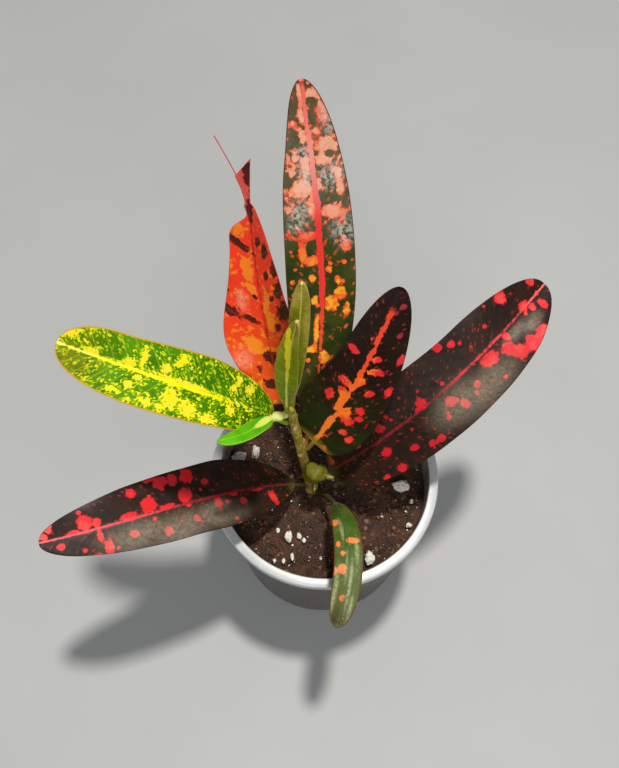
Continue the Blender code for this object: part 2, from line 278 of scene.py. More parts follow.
def skin(rings, points):
    """Faces that join rings of points into a closed tube, with a cap at each end."""
    faces = []
    for ring in range(rings - 1):
        low = ring * points
        high = low + points
        for i in range(points):
            j = (i + 1) % points
            faces.append((low + i, low + j, high + j, high + i))
    faces.append(tuple(range(points - 1, -1, -1)))
    last = (rings - 1) * points
    faces.append(tuple(range(last, last + points)))
    return faces


def smooth_step(value, low, high):
    share = np.clip((value - low) / (high - low), 0, 1)
    return share * share * (3 - 2 * share)


def turned(outline, sides):
    """Points and faces of an outline of (radius, height), turned about the Z axis."""
    turns = np.arange(sides) * math.tau / sides
    points = []
    for radius, height in outline:
        ring = np.stack([radius * np.cos(turns), radius * np.sin(turns), 0 * turns + height], 1)
        points.append(ring)
    return np.concatenate(points), skin(len(outline), sides)


def arc(centre, radius, start, end, steps):
    """Points of (radius, height) on a round stretch of an outline, by angle in degrees."""
    points = []
    for step in range(steps + 1):
        angle = math.radians(start + (end - start) * step / steps)
        points.append((centre[0] + radius * math.cos(angle), centre[1] + radius * math.sin(angle)))
    return points


def ball(subdivisions):
    """Points and faces of a round ball of radius 1, to be shaped further."""
    mesh = bmesh.new()
    bmesh.ops.create_icosphere(mesh, subdivisions=subdivisions, radius=1)
    points = np.array([point.co for point in mesh.verts])
    faces = [tuple(point.index for point in face.verts) for face in mesh.faces]
    mesh.free()
    return points, faces


def lumpy(points, seed, coarse, fine):
    """Ball points pushed in and out, by a coarse and a fine share of their radius."""
    shaped = []
    for point in points:
        place = Vector(point)
        push = coarse * noise.noise(place * 1.3 + Vector((seed, 0, 0)))
        push += fine * noise.noise(place * 4.5 + Vector((0, seed, 0)))
        shaped.append(place * (1 + push))
    return np.array(shaped)


# ---------------------------------------------------------------- pot


WALL_TOP = 42 * MM
WALL_BASE = 38 * MM
WALL = 0.8 * MM
POT_FLOOR = 1.2 * MM
LIP = 0.9 * MM
LIP_TURN_DOWN = 3.4 * MM
DRAIN_HOLES = 5
DRAIN_RADIUS = 3.5 * MM
DRAIN_CIRCLE = 24 * MM
AXIS_GAP = 0.3 * MM
BASE_GROOVE = 0.5 * MM
BASE_ROUND = 0.8 * MM
COLLAR = 0.25 * MM

POT_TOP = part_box("pot")[1].z
LIP_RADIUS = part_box("pot")[1].x
SOIL_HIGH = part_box("soil")[1].z


def wall_radius(height):
    return WALL_BASE + (WALL_TOP - WALL_BASE) * height / POT_TOP


def pot_outline(bead):
    """The pot's section from the underside's centre, round the lip, to the floor's centre."""
    under = POT_TOP - LIP
    turn_down = POT_TOP - LIP_TURN_DOWN
    inside = wall_radius(POT_TOP) - WALL
    groove = ((2.2, 0), (1.9, BASE_GROOVE), (1.4, BASE_GROOVE), (1.1, 0))
    outline = [(AXIS_GAP, 0), (DRAIN_CIRCLE, 0)]
    outline += [(WALL_BASE - inset * MM, height) for inset, height in groove]
    outline += arc((wall_radius(BASE_ROUND) - BASE_ROUND, BASE_ROUND), BASE_ROUND, -80, -5, 5)
    outline += [(wall_radius(share * under), share * under) for share in (0.1, 0.3, 0.5, 0.7, 0.86)]
    outline += [(wall_radius(0.88 * under) + COLLAR, 0.885 * under)]
    outline += [(wall_radius(0.92 * under) + COLLAR, 0.92 * under)]
    outline += arc((wall_radius(under) + 2 * COLLAR, under - 2 * COLLAR), 2 * COLLAR, 180, 90, 4)
    outline += arc((LIP_RADIUS - LIP - 0.4 * MM, under - 0.4 * MM), 0.4 * MM, 90, 0, 4)
    outline += [(LIP_RADIUS - LIP, turn_down + 0.3 * MM)]
    outline += arc((LIP_RADIUS - bead, turn_down + bead), bead, 190, 350, 8)
    outline += [(LIP_RADIUS - 0.15 * MM, POT_TOP - 1.6 * MM)]
    outline += arc((LIP_RADIUS - 0.85 * MM, POT_TOP - 0.85 * MM), 0.75 * MM, 0, 80, 6)
    outline += [(inside + 1.3 * MM, POT_TOP - 0.08 * MM)]
    outline += arc((inside + 0.5 * MM, POT_TOP - 0.5 * MM), 0.45 * MM, 90, 175, 6)
    heights = [POT_TOP * share for share in (0.96, 0.9, 0.7, 0.5, 0.3, 0.1)]
    outline += [(wall_radius(height) - WALL, height) for height in heights]
    outline += arc((wall_radius(2 * MM) - WALL - 0.9 * MM, 2.1 * MM), 0.9 * MM, 0, -90, 5)
    return outline + [(DRAIN_CIRCLE, POT_FLOOR), (AXIS_GAP, POT_FLOOR)]


def drain_cutters():
    """Upright rods that cut the drain holes."""
    mesh = bmesh.new()
    for hole in range(DRAIN_HOLES):
        turn = Matrix.Rotation(math.tau * hole / DRAIN_HOLES, 4, "Z")
        place = turn @ Matrix.Translation((0, DRAIN_CIRCLE, POT_FLOOR / 2))
        bmesh.ops.create_cone(mesh, cap_ends=True, segments=48, radius1=DRAIN_RADIUS,
                              radius2=DRAIN_RADIUS, depth=4 * POT_FLOOR, matrix=place)
    data = bpy.data.meshes.new("drain_cutters")
    mesh.to_mesh(data)
    mesh.free()
    made = bpy.data.objects.new("drain_cutters", data)
    bpy.context.scene.collection.objects.link(made)
    return made


def cut_and_apply(piece, tool):
    """Cuts the tool's shape out of a piece for good, and removes the tool."""
    cut = piece.modifiers.new("drain_holes", "BOOLEAN")
    cut.object = tool
    cut.solver = "EXACT"
    bpy.context.view_layer.update()
    graph = bpy.context.evaluated_depsgraph_get()
    shaped = bpy.data.meshes.new_from_object(piece.evaluated_get(graph))
    piece.modifiers.clear()
    piece.data = shaped
    bpy.data.objects.remove(tool, do_unlink=True)


def pot_plastic(settings):
    """Milky at the lip and clear lower down, where the damp peat shows through. The inner face is painted
    lighter, as painted light on its shaded side.
    """
    finish = Finish("pot_plastic")
    place = finish.place()
    x, y, height = finish.split(place)
    off_axis = (x * x + y * y) ** 0.5
    outside = height * ((WALL_TOP - WALL_BASE) / POT_TOP) + WALL_BASE
    inner = 1 - (off_axis - outside).step(-0.7 * WALL, -0.3 * WALL)
    damp = finish.noise(place, 90, 4, 0.6)
    flecks = finish.noise(place, 900, 2, 0.6)
    low = 1 - (height + (damp - 0.5) * (6 * MM)).step(SOIL_HIGH - 3 * MM, SOIL_HIGH + 4 * MM)
    mottled = finish.mix(damp.step(0.35, 0.65), paint(54, 47, 43), settings.wall_colour[:])
    mottled = finish.mix(flecks.step(0.62, 0.72) * 0.4, mottled, paint(150, 140, 130))
    milky = finish.mix(damp.step(0.3, 0.7), settings.lip_colour[:], paint(182, 185, 186))
    haze = finish.mix(height.step(SOIL_HIGH, POT_TOP - 2.5 * MM), paint(158, 150, 142), milky)
    body = finish.mix(low, haze, mottled)
    # Painted light and dust: the inner face gets a light grey-tan that stands in for light on this shaded
    # side, with dust-like mottling.
    inner_light_and_dust = finish.mix(damp.step(0.3, 0.7), paint(150, 141, 131), paint(196, 188, 178))
    body = finish.mix(inner, body, inner_light_and_dust)
    rough = 0.22 + damp * 0.14
    bump = finish.bump(flecks, 0.02 * MM, 0.4)
    return finish.surface(Base_Color=body, Roughness=rough, Normal=bump, Coat_Weight=0.25,
                          Subsurface_Weight=0.15, Subsurface_Scale=2 * MM)


def make_pot(settings):
    points, faces = turned(pot_outline(settings.lip_bead), settings.sides)
    finish = pot_plastic(settings)
    pot = new_piece("nursery_pot", points, faces, finish, "pot_plastic", ["pot"])
    cut_and_apply(pot, drain_cutters())


# ---------------------------------------------------------------- peat


PEAT_LEVEL = SOIL_HIGH - 0.8 * MM
STEM_EMERGES = 65 * MM
STEM_CLEARANCE = 2.6 * MM
CRUMB_REACH = 39.2 * MM
CRUMB_SEED = 11
FIBRE_REACH = 37 * MM
FIBRE_LIMIT = 39.5 * MM
FIBRE_SEED = 23
FIBRE_SIDES = 5
SPECK_REACH = 39 * MM
SPECK_SEED = 5


def peat_height(x, y, lump):
    """The height of the peat's broken surface, rising a little at the stem."""
    place = Vector((x, y, 0))
    height = PEAT_LEVEL + lump * 1.1 * noise.noise(place / (9 * MM))
    height += lump * 0.8 * noise.noise(place / (3.1 * MM) + Vector((7, 0, 0)))
    height += lump * 0.55 * noise.noise(place / (1.3 * MM) + Vector((0, 9, 0)))
    height += lump * 0.35 * noise.noise(place / (0.6 * MM) + Vector((3, 0, 5)))
    foot = stem_point(STEM_EMERGES)
    near = math.hypot(x - foot.x, y - foot.y)
    return height + 1.2 * MM * math.exp(-((near / (7 * MM)) ** 2))


def peat_finish(settings, name="peat"):
    """Crumbly peat: near black in the hollows, with rust-brown and tan bits."""
    finish = Finish(name)
    place = finish.place()
    broad = finish.noise(place, 160, 4, 0.6)
    fine = finish.noise(place, 1500, 4, 0.65)
    _, rusty, _ = finish.split(finish.cells(place, 700, "Color"))
    tint = finish.attribute("tint")
    body = finish.mix(fine.step(0.35, 0.7), settings.dark[:], paint(84, 54, 36))
    body = finish.mix(broad.step(0.45, 0.65) * 0.5, body, paint(98, 64, 42))
    body = finish.mix(tint * fine.step(0.3, 0.6), body, settings.light[:])
    body = finish.mix(rusty.step(0.93, 0.97) * 0.6, body, paint(150, 112, 80))
    bump = finish.bump(fine, 0.35 * MM, 0.9)
    return finish.surface(Base_Color=body, Roughness=0.75 + fine * 0.2, Normal=bump)


def make_peat_plug(settings):
    """The plug that fills the pot, with a finely broken top."""
    sides = 288
    ring_count = 118
    bottom = POT_FLOOR + 0.3 * MM
    edge = wall_radius(PEAT_LEVEL) - WALL - 0.2 * MM
    turns = np.arange(sides) * math.tau / sides
    points = []
    foot = wall_radius(bottom) - WALL - 0.9 * MM
    for radius, height in ((0.5 * MM, bottom), (foot, bottom), (edge, PEAT_LEVEL - 1.5 * MM)):
        points += [(radius * math.cos(turn), radius * math.sin(turn), height) for turn in turns]
    for ring in range(ring_count):
        radius = edge * (1 - ring / ring_count) + 0.02 * MM
        for turn in turns:
            x = radius * math.cos(turn)
            y = radius * math.sin(turn)
            points.append((x, y, peat_height(x, y, settings.lump)))
    tint = np.zeros(len(points))
    new_piece("peat_plug", points, skin(ring_count + 3, sides), peat_finish(settings), "peat",
              ["soil"], tint=tint)


def spots_on_peat(chance, count, reach):
    """Random places on the peat, away from the stem."""
    spots = []
    foot = stem_point(STEM_EMERGES)
    while len(spots) < count:
        radius = reach * math.sqrt(chance.random())
        turn = chance.uniform(0, math.tau)
        x = radius * math.cos(turn)
        y = radius * math.sin(turn)
        if math.hypot(x - foot.x, y - foot.y) > STEM_CLEARANCE:
            spots.append((x, y))
    return spots


def join_lumps(name, lumps, material, slot):
    """Joins many small lumps, given by centre, sizes, turn, seed and tint, into one piece."""
    points = []
    faces = []
    tints = []
    for centre, sizes, turn, seed, tint, (ball_points, ball_faces) in lumps:
        start = len(points)
        spin = Matrix.Rotation(turn, 3, "Z") @ Matrix.Rotation(seed, 3, "X")
        shaped = lumpy(ball_points, seed, 0.5, 0.25) * np.array(sizes)
        points += [Vector(centre) + spin @ Vector(point) for point in shaped]
        faces += [tuple(start + i for i in face) for face in ball_faces]
        tints += [tint] * len(shaped)
    new_piece(name, [tuple(point) for point in points], faces, material, slot, tint=tints)


def make_crumbs(settings, material):
    chance = random.Random(CRUMB_SEED)
    small = ball(1)
    large = ball(2)
    lumps = []
    for x, y in spots_on_peat(chance, settings.crumbs, CRUMB_REACH):
        size = settings.crumb * (0.18 + 0.82 * chance.random() ** 3.2) / 2
        sizes = [size * chance.uniform(0.6, 1.2) for _ in range(3)]
        height = peat_height(x, y, settings.lump) + sizes[2] * 0.35
        shape = large if size > 0.35 * MM else small
        turn = chance.uniform(0, math.tau)
        lumps.append(((x, y, height), sizes, turn, chance.uniform(0, 50), chance.random() ** 3, shape))
    join_lumps("peat_crumbs", lumps, material, "peat")


def fibre_points(chance, x, y, lump):
    """Centres of a bent fibre that lies over the lumps."""
    heading = chance.uniform(0, math.tau)
    reach = chance.uniform(2.5, 9) * MM
    bend = chance.uniform(-1.6, 1.6)
    centres = []
    for step in range(9):
        share = step / 8
        turn = heading + bend * share + 0.3 * math.sin(9 * share + x * 900)
        height = peat_height(x, y, lump) + (0.35 + 0.5 * math.sin(math.pi * share)) * MM
        centres.append(Vector((x, y, height)))
        x += reach / 8 * math.cos(turn)
        y += reach / 8 * math.sin(turn)
        if math.hypot(x, y) > FIBRE_LIMIT:
            break
    return centres


def make_fibres(settings, material):
    chance = random.Random(FIBRE_SEED)
    points = []
    faces = []
    tints = []
    for x, y in spots_on_peat(chance, settings.fibres, FIBRE_REACH):
        centres = fibre_points(chance, x, y, settings.lump)
        if len(centres) < 4:
            continue
        start = len(points)
        thick = chance.uniform(0.07, 0.2) * MM
        for i, centre in enumerate(centres):
            ahead = (centres[min(i + 1, len(centres) - 1)] - centres[max(i - 1, 0)]).normalized()
            side = ahead.cross(Vector((0, 0, 1))).normalized()
            above = side.cross(ahead)
            taper = thick * (1 - 0.7 * abs(2 * i / (len(centres) - 1) - 1) ** 3)
            for k in range(FIBRE_SIDES):
                turn = math.tau * k / FIBRE_SIDES
                points.append(centre + (side * math.cos(turn) + above * math.sin(turn)) * taper)
        faces += [tuple(start + i for i in face) for face in skin(len(centres), FIBRE_SIDES)]
        tints += [chance.uniform(0.2, 1)] * (len(points) - start)
    new_piece("peat_fibres", [tuple(p) for p in points], faces, material, "peat", tint=tints)


def make_peat(settings):
    make_peat_plug(settings)
    loose = peat_finish(settings, "loose_peat")
    make_crumbs(settings, loose)
    make_fibres(settings, loose)


# ---------------------------------------------------------------- perlite


def perlite_finish():
    """White puffed glass with small pits and a little peat dust."""
    finish = Finish("perlite")
    place = finish.place()
    fine = finish.noise(place, 1400, 3, 0.6)
    pits = finish.cells(place, 1700, "Distance")
    dust = finish.noise(place, 420, 3, 0.7)
    body = finish.mix(fine.step(0.3, 0.7), paint(216, 208, 196), paint(252, 249, 242))
    body = finish.mix(dust.step(0.56, 0.72) * 0.6, body, paint(150, 122, 98))
    body = finish.mix((1 - pits.step(0.05, 0.16)) * 0.5, body, paint(140, 125, 110))
    bump = finish.bump(pits + fine * 0.5, 0.22 * MM, 0.9)
    return finish.surface(Base_Color=body, Roughness=0.7 + fine * 0.2, Normal=bump)


def make_perlite_grain(node, material, number):
    """A lumpy grain in its node's box, settled a little into the crumbs."""
    low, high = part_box(node)
    centre = (low + high) / 2
    sizes = np.array(high - low) / 2
    points, faces = ball(4 if max(sizes) > 2 * MM else 3)
    shaped = lumpy(points, 4.7 * number, 0.42, 0.2)
    shaped = shaped / np.abs(shaped).max(0) * sizes
    shaped[:, 2] = shaped[:, 2] * 1.15
    sunk = np.array(centre) - np.array((0, 0, 0.5 * MM))
    name = node.replace("perlite_grain", "perlite")
    new_piece(name, shaped + sunk, faces, material, "perlite", [node])


def make_specks(settings, material):
    """Broken bits of perlite and sand among the crumbs."""
    chance = random.Random(SPECK_SEED)
    shape = ball(2)
    lumps = []
    for x, y in spots_on_peat(chance, settings.specks, SPECK_REACH):
        size = chance.uniform(0.12, 0.2 + 0.42 * chance.random() ** 3) * MM
        sizes = [size * chance.uniform(0.7, 1.5) for _ in range(3)]
        height = peat_height(x, y, settings.lump) + 0.5 * MM
        lumps.append(((x, y, height), sizes, chance.uniform(0, 6), chance.uniform(0, 50), 0, shape))
    join_lumps("perlite_specks", lumps, material, "perlite")


def make_perlite(settings):
    material = perlite_finish()
    nodes = sorted(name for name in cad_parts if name.startswith("perlite_grain"))
    if not nodes:
        raise RuntimeError("the frame holds no perlite grains")
    for number, node in enumerate(nodes, 1):
        make_perlite_grain(node, material, number)
    make_specks(settings, material)


# ---------------------------------------------------------------- stem


STEM_FOOT = Vector((-4.8, -3.0, 65)) * MM
STEM_TIP = Vector((-12.5, 5.0, 127)) * MM
STEM_BURIED = 54 * MM
FLARE_HEIGHT = 66 * MM
# Radii and scar heights are in millimetres, and each scar's heading is in degrees.
STEM_FOOT_RADIUS = 1.9
STEM_TIP_RADIUS = 1.5
FLARE = 0.5
SCAR_TALL = 0.9
SCAR_WIDE = 0.62
STEM_SCARS = ((68, 20), (72, 190), (78, 310), (84, 80), (90, 215), (97, 25), (104, 160), (110, 290),
              (116, 55), (121, 180))


def stem_point(height):
    """The stem's centre at a height, on a straight line from foot to tip."""
    share = (height - STEM_FOOT.z) / (STEM_TIP.z - STEM_FOOT.z)
    return STEM_FOOT.lerp(STEM_TIP, share)


def stem_radius(height):
    """The stem's radius in millimetres at a height in metres, without its scars."""
    share = (height - STEM_FOOT.z) / (STEM_TIP.z - STEM_FOOT.z)
    return STEM_FOOT_RADIUS + (STEM_TIP_RADIUS - STEM_FOOT_RADIUS) * max(share, 0)


def stem_finish(settings):
    """Grey-brown bark below that turns green above, with pale scars and breathing pores."""
    finish = Finish("woody_stem")
    place = finish.place()
    _, _, height = finish.split(place)
    grain = finish.noise(finish.scaled(place, (1, 1, 0.25)), 1500, 4, 0.6)
    patch = finish.noise(place, 260, 3, 0.6)
    scar = finish.attribute("scar")
    pores = finish.cells(finish.scaled(place, (1, 1, 0.6)), 900, "Distance")
    share = (height + (patch - 0.5) * (22 * MM)).step(84 * MM, 118 * MM)
    body = finish.mix(share, settings.bark[:], settings.green[:])
    body = finish.mix(grain.step(0.4, 0.7) * 0.6, body, paint(50, 40, 22))
    body = finish.mix(patch.step(0.55, 0.68) * 0.7, body, paint(206, 180, 84))
    body = finish.mix((1 - pores.step(0.1, 0.22)) * 0.6, body, paint(178, 160, 118))
    body = finish.mix(scar * 0.85, body, paint(184, 160, 110))
    bump = finish.bump(grain + pores, 0.15 * MM, 0.7)
    return finish.surface(Base_Color=body, Roughness=0.55 + grain * 0.25, Normal=bump)


def scar_share(turn, height):
    """1 in the middle of a fallen leaf's scar and 0 away from them all."""
    scar = 0
    for scar_height, heading in STEM_SCARS:
        off = turn - math.radians(heading)
        away = math.atan2(math.sin(off), math.cos(off))
        scar += math.exp(-(((height / MM - scar_height) / SCAR_TALL) ** 2) - (away / SCAR_WIDE) ** 2)
    return min(scar, 1)


def bark_ridges(turn, height):
    """Long ridges with a finer grain over them, above and below 0."""
    long = Vector((math.cos(turn) * 3, math.sin(turn) * 3, height / MM * 0.22))
    short = Vector((math.cos(turn) * 8, math.sin(turn) * 8, height / MM * 0.8))
    return noise.noise(long) + 0.6 * noise.noise(short)


def make_stem(settings):
    """The woody stem with its bark ridges and the scar of each fallen leaf."""
    sides = 96
    ring_count = 300
    high = STEM_TIP.z + 0.8 * MM
    tilt = (STEM_TIP - STEM_FOOT).to_track_quat("Z", "Y").to_matrix()
    points = []
    scars = []
    for ring in range(ring_count + 1):
        height = STEM_BURIED + (high - STEM_BURIED) * ring / ring_count
        centre = stem_point(height)
        past = max(0, (height - STEM_TIP.z + 0.7 * MM) / (1.5 * MM))
        rounding = math.sqrt(max(1 - past * past, 0.002))
        flare = FLARE * math.exp(-(((height - FLARE_HEIGHT) / (3 * MM)) ** 2))
        for side in range(sides):
            turn = math.tau * side / sides
            scar = scar_share(turn, height)
            ridges = bark_ridges(turn, height)
            radius = (stem_radius(height) + flare) * MM + settings.ridge * ridges + settings.scar * scar
            across = Vector((math.cos(turn), math.sin(turn), 0)) * radius * rounding
            points.append(tuple(centre + tilt @ across))
            scars.append(scar)
    faces = skin(ring_count + 1, sides)
    new_piece("woody_stem", points, faces, stem_finish(settings), "woody_stem", ["main_stem"], scar=scars)


# ---------------------------------------------------------------- leaf shapes


# Leaf sizes are in millimetres, and become metres where the skin's points are placed.
STALK_RADIUS = 0.9
STALK_GAP = 0.3
STALK_SUNK = 0.9
THINNEST = 0.12
SMALL_LEAF = 40
RIB_WIDTH = 1.15
GROOVE_DEPTH = 0.12
VEIN_SLANT = 0.8
UNMARKED = -2.0


class Curl(NamedTuple):
    """The end of a twisted leaf: a narrow neck, a one-sided lobe and a fine thread."""

    neck: float
    neck_width: float
    lobe: float
    lobe_width: float
    thread_radius: float
    turn: float


class Leaf(NamedTuple):
    """One leaf. Lengths are in millimetres and angles in degrees. Heading turns from +X to +Y,
    rise is above the horizon, and roll turns the blade about its rib. Heading and rise are
    given at the stem, half way along and at the tip, and roll at the stem and the tip. Widest
    is a share of the blade, and base and tip say how blunt its ends are. A swell widens one
    side, 1 for left or -1 for right, about a share of the blade, by a spread and a size."""

    node: str
    slot: str
    height: float
    heading: tuple
    rise: tuple
    roll: tuple
    long: float
    stalk: float
    half_width: float
    widest: float = 0.45
    base: float = 0.6
    tip: float = 2.0
    fold: float = 12
    foot: tuple = None
    foot_shift: tuple = None
    curl: Curl = None
    knob: tuple = None
    stalk_radius: float = STALK_RADIUS
    rib_height: float = 0.45
    swells: tuple = ()
    slope: float = 0.0
    hot: tuple = ()
    dark: tuple = ()
    # Pale marks carry painted sheen on most leaves, and a real paler tone on a few.
    pale: tuple = ()

    @property
    def blade_end(self):
        return self.curl.neck if self.curl else self.long


def along_three(values, share):
    """A smooth value through three given ones, at the start, the middle and the end."""
    start, middle, end = values
    bow = middle - (start + end) / 2
    return start + (end - start) * share + bow * 4 * share * (1 - share)


def leaf_foot(leaf):
    """Where the rib starts, at the stem's surface or at its tip."""
    if leaf.foot:
        return Vector(leaf.foot) * MM
    if leaf.foot_shift:
        raised = Vector((0, 0, (leaf.height + STALK_GAP) * MM - STEM_TIP.z))
        return STEM_TIP + Vector(leaf.foot_shift) * MM + raised
    heading = math.radians(leaf.heading[0])
    out = Vector((math.cos(heading), math.sin(heading), 0))
    reach = (stem_radius(leaf.height * MM) + STALK_GAP + STALK_RADIUS) * MM
    return stem_point(leaf.height * MM) + out * reach


def leaf_path(leaf, steps=240):
    """The rib's points, directions and headings, walked in short equal steps from the stem."""
    place = leaf_foot(leaf)
    places = []
    alongs = []
    turns = []
    for step in range(steps + 1):
        share = step / steps
        turn = along_three(leaf.heading, share)
        if leaf.curl:
            past = (share * leaf.long - leaf.curl.neck) / leaf.curl.lobe
            turn += leaf.curl.turn * min(max(past + 0.3, 0), 1)
        turn = math.radians(turn)
        rise = math.radians(along_three(leaf.rise, share))
        level = math.cos(rise)
        along = Vector((level * math.cos(turn), level * math.sin(turn), math.sin(rise)))
        if places:
            place = place + (along + alongs[-1]).normalized() * (leaf.long * MM / steps)
        places.append(place.copy())
        alongs.append(along)
        turns.append(turn)
    return np.array(places), np.array(alongs), np.array(turns)


def half_width(leaf, share):
    """The blade's half width at a share of the blade's own length."""
    rising = np.sin(math.pi / 2 * np.clip(share / leaf.widest, 0, 1)) ** leaf.base
    past = np.clip((share - leaf.widest) / (1 - leaf.widest), 0, 1)
    falling = np.sqrt(1 - past ** leaf.tip)
    return leaf.half_width * np.where(share < leaf.widest, rising, falling)


def side_widths(leaf, distance):
    """The leaf's reach to its left and right of the rib, in millimetres."""
    share = (distance - leaf.stalk) / (leaf.blade_end - leaf.stalk)
    inside = np.clip(share, 0, 1)
    stalk = leaf.stalk_radius * (1 - smooth_step(share, 0, 0.12))
    thinnest = leaf.curl.neck_width if leaf.curl else THINNEST
    widths = []
    for side in (1, -1):
        wide = half_width(leaf, inside)
        for swell_side, middle, spread, size in leaf.swells:
            if swell_side == side:
                wide = wide + size * np.exp(-(((share - middle) / spread) ** 2)) * np.sqrt(
                    np.clip((1 - inside) * 12, 0, 1))
        wide = np.maximum(np.maximum(wide, stalk), thinnest)
        widths.append(np.where(share <= 0, leaf.stalk_radius, wide))
    left, right = widths
    if leaf.curl:
        past = (distance - leaf.curl.neck) / leaf.curl.lobe
        lobe = np.clip(past, 0, 1)
        left = np.where(past > 0, leaf.curl.neck_width * (1 - 0.5 * lobe), left)
        right = np.where(past > 0, leaf.curl.neck_width + leaf.curl.lobe_width * lobe ** 1.4, right)
        left = np.where(past > 1, leaf.curl.thread_radius, left)
        right = np.where(past > 1, leaf.curl.thread_radius, right)
    if leaf.knob:
        middle, spread, size = leaf.knob
        bulge = size * np.exp(-(((distance - middle) / spread) ** 2))
        left = left + bulge
        right = right + bulge
    return left, right


def ring_distances(leaf, rings):
    """Distances of the sections from the rib's foot, closer together where the outline turns
    fast. The first lies a little behind the foot, so that the stalk meets the bark."""
    steps = np.linspace(0, 1, rings)
    shares = 0.55 * steps + 0.45 * (0.5 - 0.5 * np.cos(math.pi * steps))
    stalk = np.linspace(-STALK_SUNK, leaf.stalk, 14)[:-1]
    blade = leaf.stalk + (leaf.blade_end - leaf.stalk) * shares
    parts = [stalk, blade]
    if leaf.curl:
        lobe_end = leaf.curl.neck + leaf.curl.lobe
        parts.append(np.linspace(leaf.curl.neck, lobe_end, 30)[1:])
        parts.append(np.linspace(lobe_end + 0.15, leaf.long, 30))
    return np.concatenate(parts)


def nearness(marks, along, across, slope):
    """How far inside the nearest oval mark each point lies: 1 at its middle, 0 at its edge.
    A mark on a leaf with a slope leans along the side veins."""
    nearest = np.full(along.shape, UNMARKED)
    for middle, side, long, wide in marks:
        ahead = along - middle - slope * (np.abs(across) - abs(side))
        away = np.hypot(ahead / long, (across - side) / wide)
        nearest = np.maximum(nearest, 1 - away)
    return nearest


def section_spacing(points):
    """Shares of the half width round a section, from the left margin and back, and which face."""
    around = (np.arange(points) + 0.5) * math.tau / points
    upper = around < math.pi
    half = np.where(upper, around, math.tau - around)
    across = 0.62 * np.cos(half) + 0.38 * (1 - 2 * half / math.pi)
    return across, np.where(upper, 1.0, -1.0)


def section_frames(leaf, distances):
    """Each section's place on the rib, with its directions along, to the left and up."""
    places, alongs, turns = leaf_path(leaf)
    steps = np.linspace(0, leaf.long, len(turns))
    inside = np.clip(distances, 0, leaf.long)
    place = np.stack([np.interp(inside, steps, places[:, k]) for k in range(3)], 1)
    along = np.stack([np.interp(inside, steps, alongs[:, k]) for k in range(3)], 1)
    along /= np.linalg.norm(along, axis=1)[:, None]
    place += along * np.minimum(distances, 0)[:, None] * MM
    turn = np.interp(inside, steps, turns)
    level = np.stack([-np.sin(turn), np.cos(turn), 0 * turn], 1)
    roll = np.radians(leaf.roll[0] + (leaf.roll[1] - leaf.roll[0]) * inside / leaf.long)[:, None]
    side = level * np.cos(roll) + np.cross(along, level) * np.sin(roll)
    return place, along, side, np.cross(along, side)


def flatness(leaf, far, widest):
    """1 where a section is a flat blade, 0 where it is a round stalk or thread."""
    flat = np.clip((widest - leaf.stalk_radius) / (1.6 * leaf.stalk_radius), 0, 1)
    if leaf.curl:
        blade = smooth_step(far, leaf.curl.neck - 25, leaf.curl.neck - 10)
        flat = np.where(far > leaf.curl.neck + leaf.curl.lobe, 0, np.maximum(flat, blade))
    return flat


class Spots(NamedTuple):
    """Where the points of a leaf's skin lie: from the stem, to the left of the rib and as a
    share of that side's width, above the blade at 1 or below at -1, as a share of the blade's
    length, and with their section's wider half."""

    far: np.ndarray
    reach: np.ndarray
    across: np.ndarray
    face: np.ndarray
    share: np.ndarray
    widest: np.ndarray


def skin_heights(leaf, settings, spots, flat):
    """How far the skin stands off the middle: a thin plate with its rib, or a round stalk."""
    _, reach, across, face, share, widest = spots
    blade = settings.thickness / MM / 2 * np.sqrt(1 - np.abs(across) ** 6)
    rib_width = RIB_WIDTH * (1 - 0.75 * share)
    ridge = np.exp(-((reach / rib_width) ** 2)) * leaf.rib_height * (1 - 0.85 * share)
    plate = face * (blade + ridge * np.where(face > 0, 0.35, 1.5))
    groove = np.exp(-(((np.abs(reach) - 1.5 * rib_width) / (0.6 * rib_width)) ** 2))
    plate = plate - GROOVE_DEPTH * groove * (1 - share)
    rod_across = np.sqrt(np.clip(1 - across ** 2, 0, 1)) * face
    rod = (widest if leaf.knob else np.minimum(leaf.stalk_radius, widest)) * rod_across
    return rod + (plate - rod) * flat


def blade_relief(leaf, settings, spots):
    """The fold along the rib, the waves of the margin, the side veins' furrows and a ripple."""
    far, reach, across, _, share, widest = spots
    bend = np.sqrt(reach ** 2 + 1.0) - 1.0
    lift = math.tan(math.radians(leaf.fold)) * bend
    near_margin = np.abs(across) ** 3 * smooth_step(share, 0.03, 0.2)
    phase = leaf.long * 0.7 + np.where(reach > 0, 0.0, 2.1)
    wave = np.sin(far / 5.3 + phase) + 0.6 * np.sin(far / 2.9 + 2 * phase)
    wave = wave * near_margin * settings.wave / MM * np.clip(widest / 12, 0, 1)
    vein = (far - np.abs(reach) * VEIN_SLANT) / (settings.vein_spacing / MM)
    vein_edge = np.abs(vein - np.round(vein)) * settings.vein_spacing / MM
    between = smooth_step(np.abs(reach), 0.8, 2.5) * (1 - np.abs(across) ** 4)
    quilt = -settings.quilt / MM * np.exp(-((vein_edge / 0.55) ** 2)) * between
    ripple = 0.05 * np.sin(far * 0.9 + reach * 0.7) * np.sin(reach * 0.6 + 2) * between
    return lift + wave + quilt + ripple


def lobe_lean(leaf, settings, spots):
    """How far a curled lobe's outer corner leans ahead, in millimetres."""
    if not leaf.curl:
        return 0 * spots.reach
    past = (spots.far - leaf.curl.neck) / leaf.curl.lobe
    lobe = np.where(past > 1, 0, np.clip(past, 0, 1))
    return lobe * np.maximum(-spots.across, 0) * settings.lobe_slant / MM


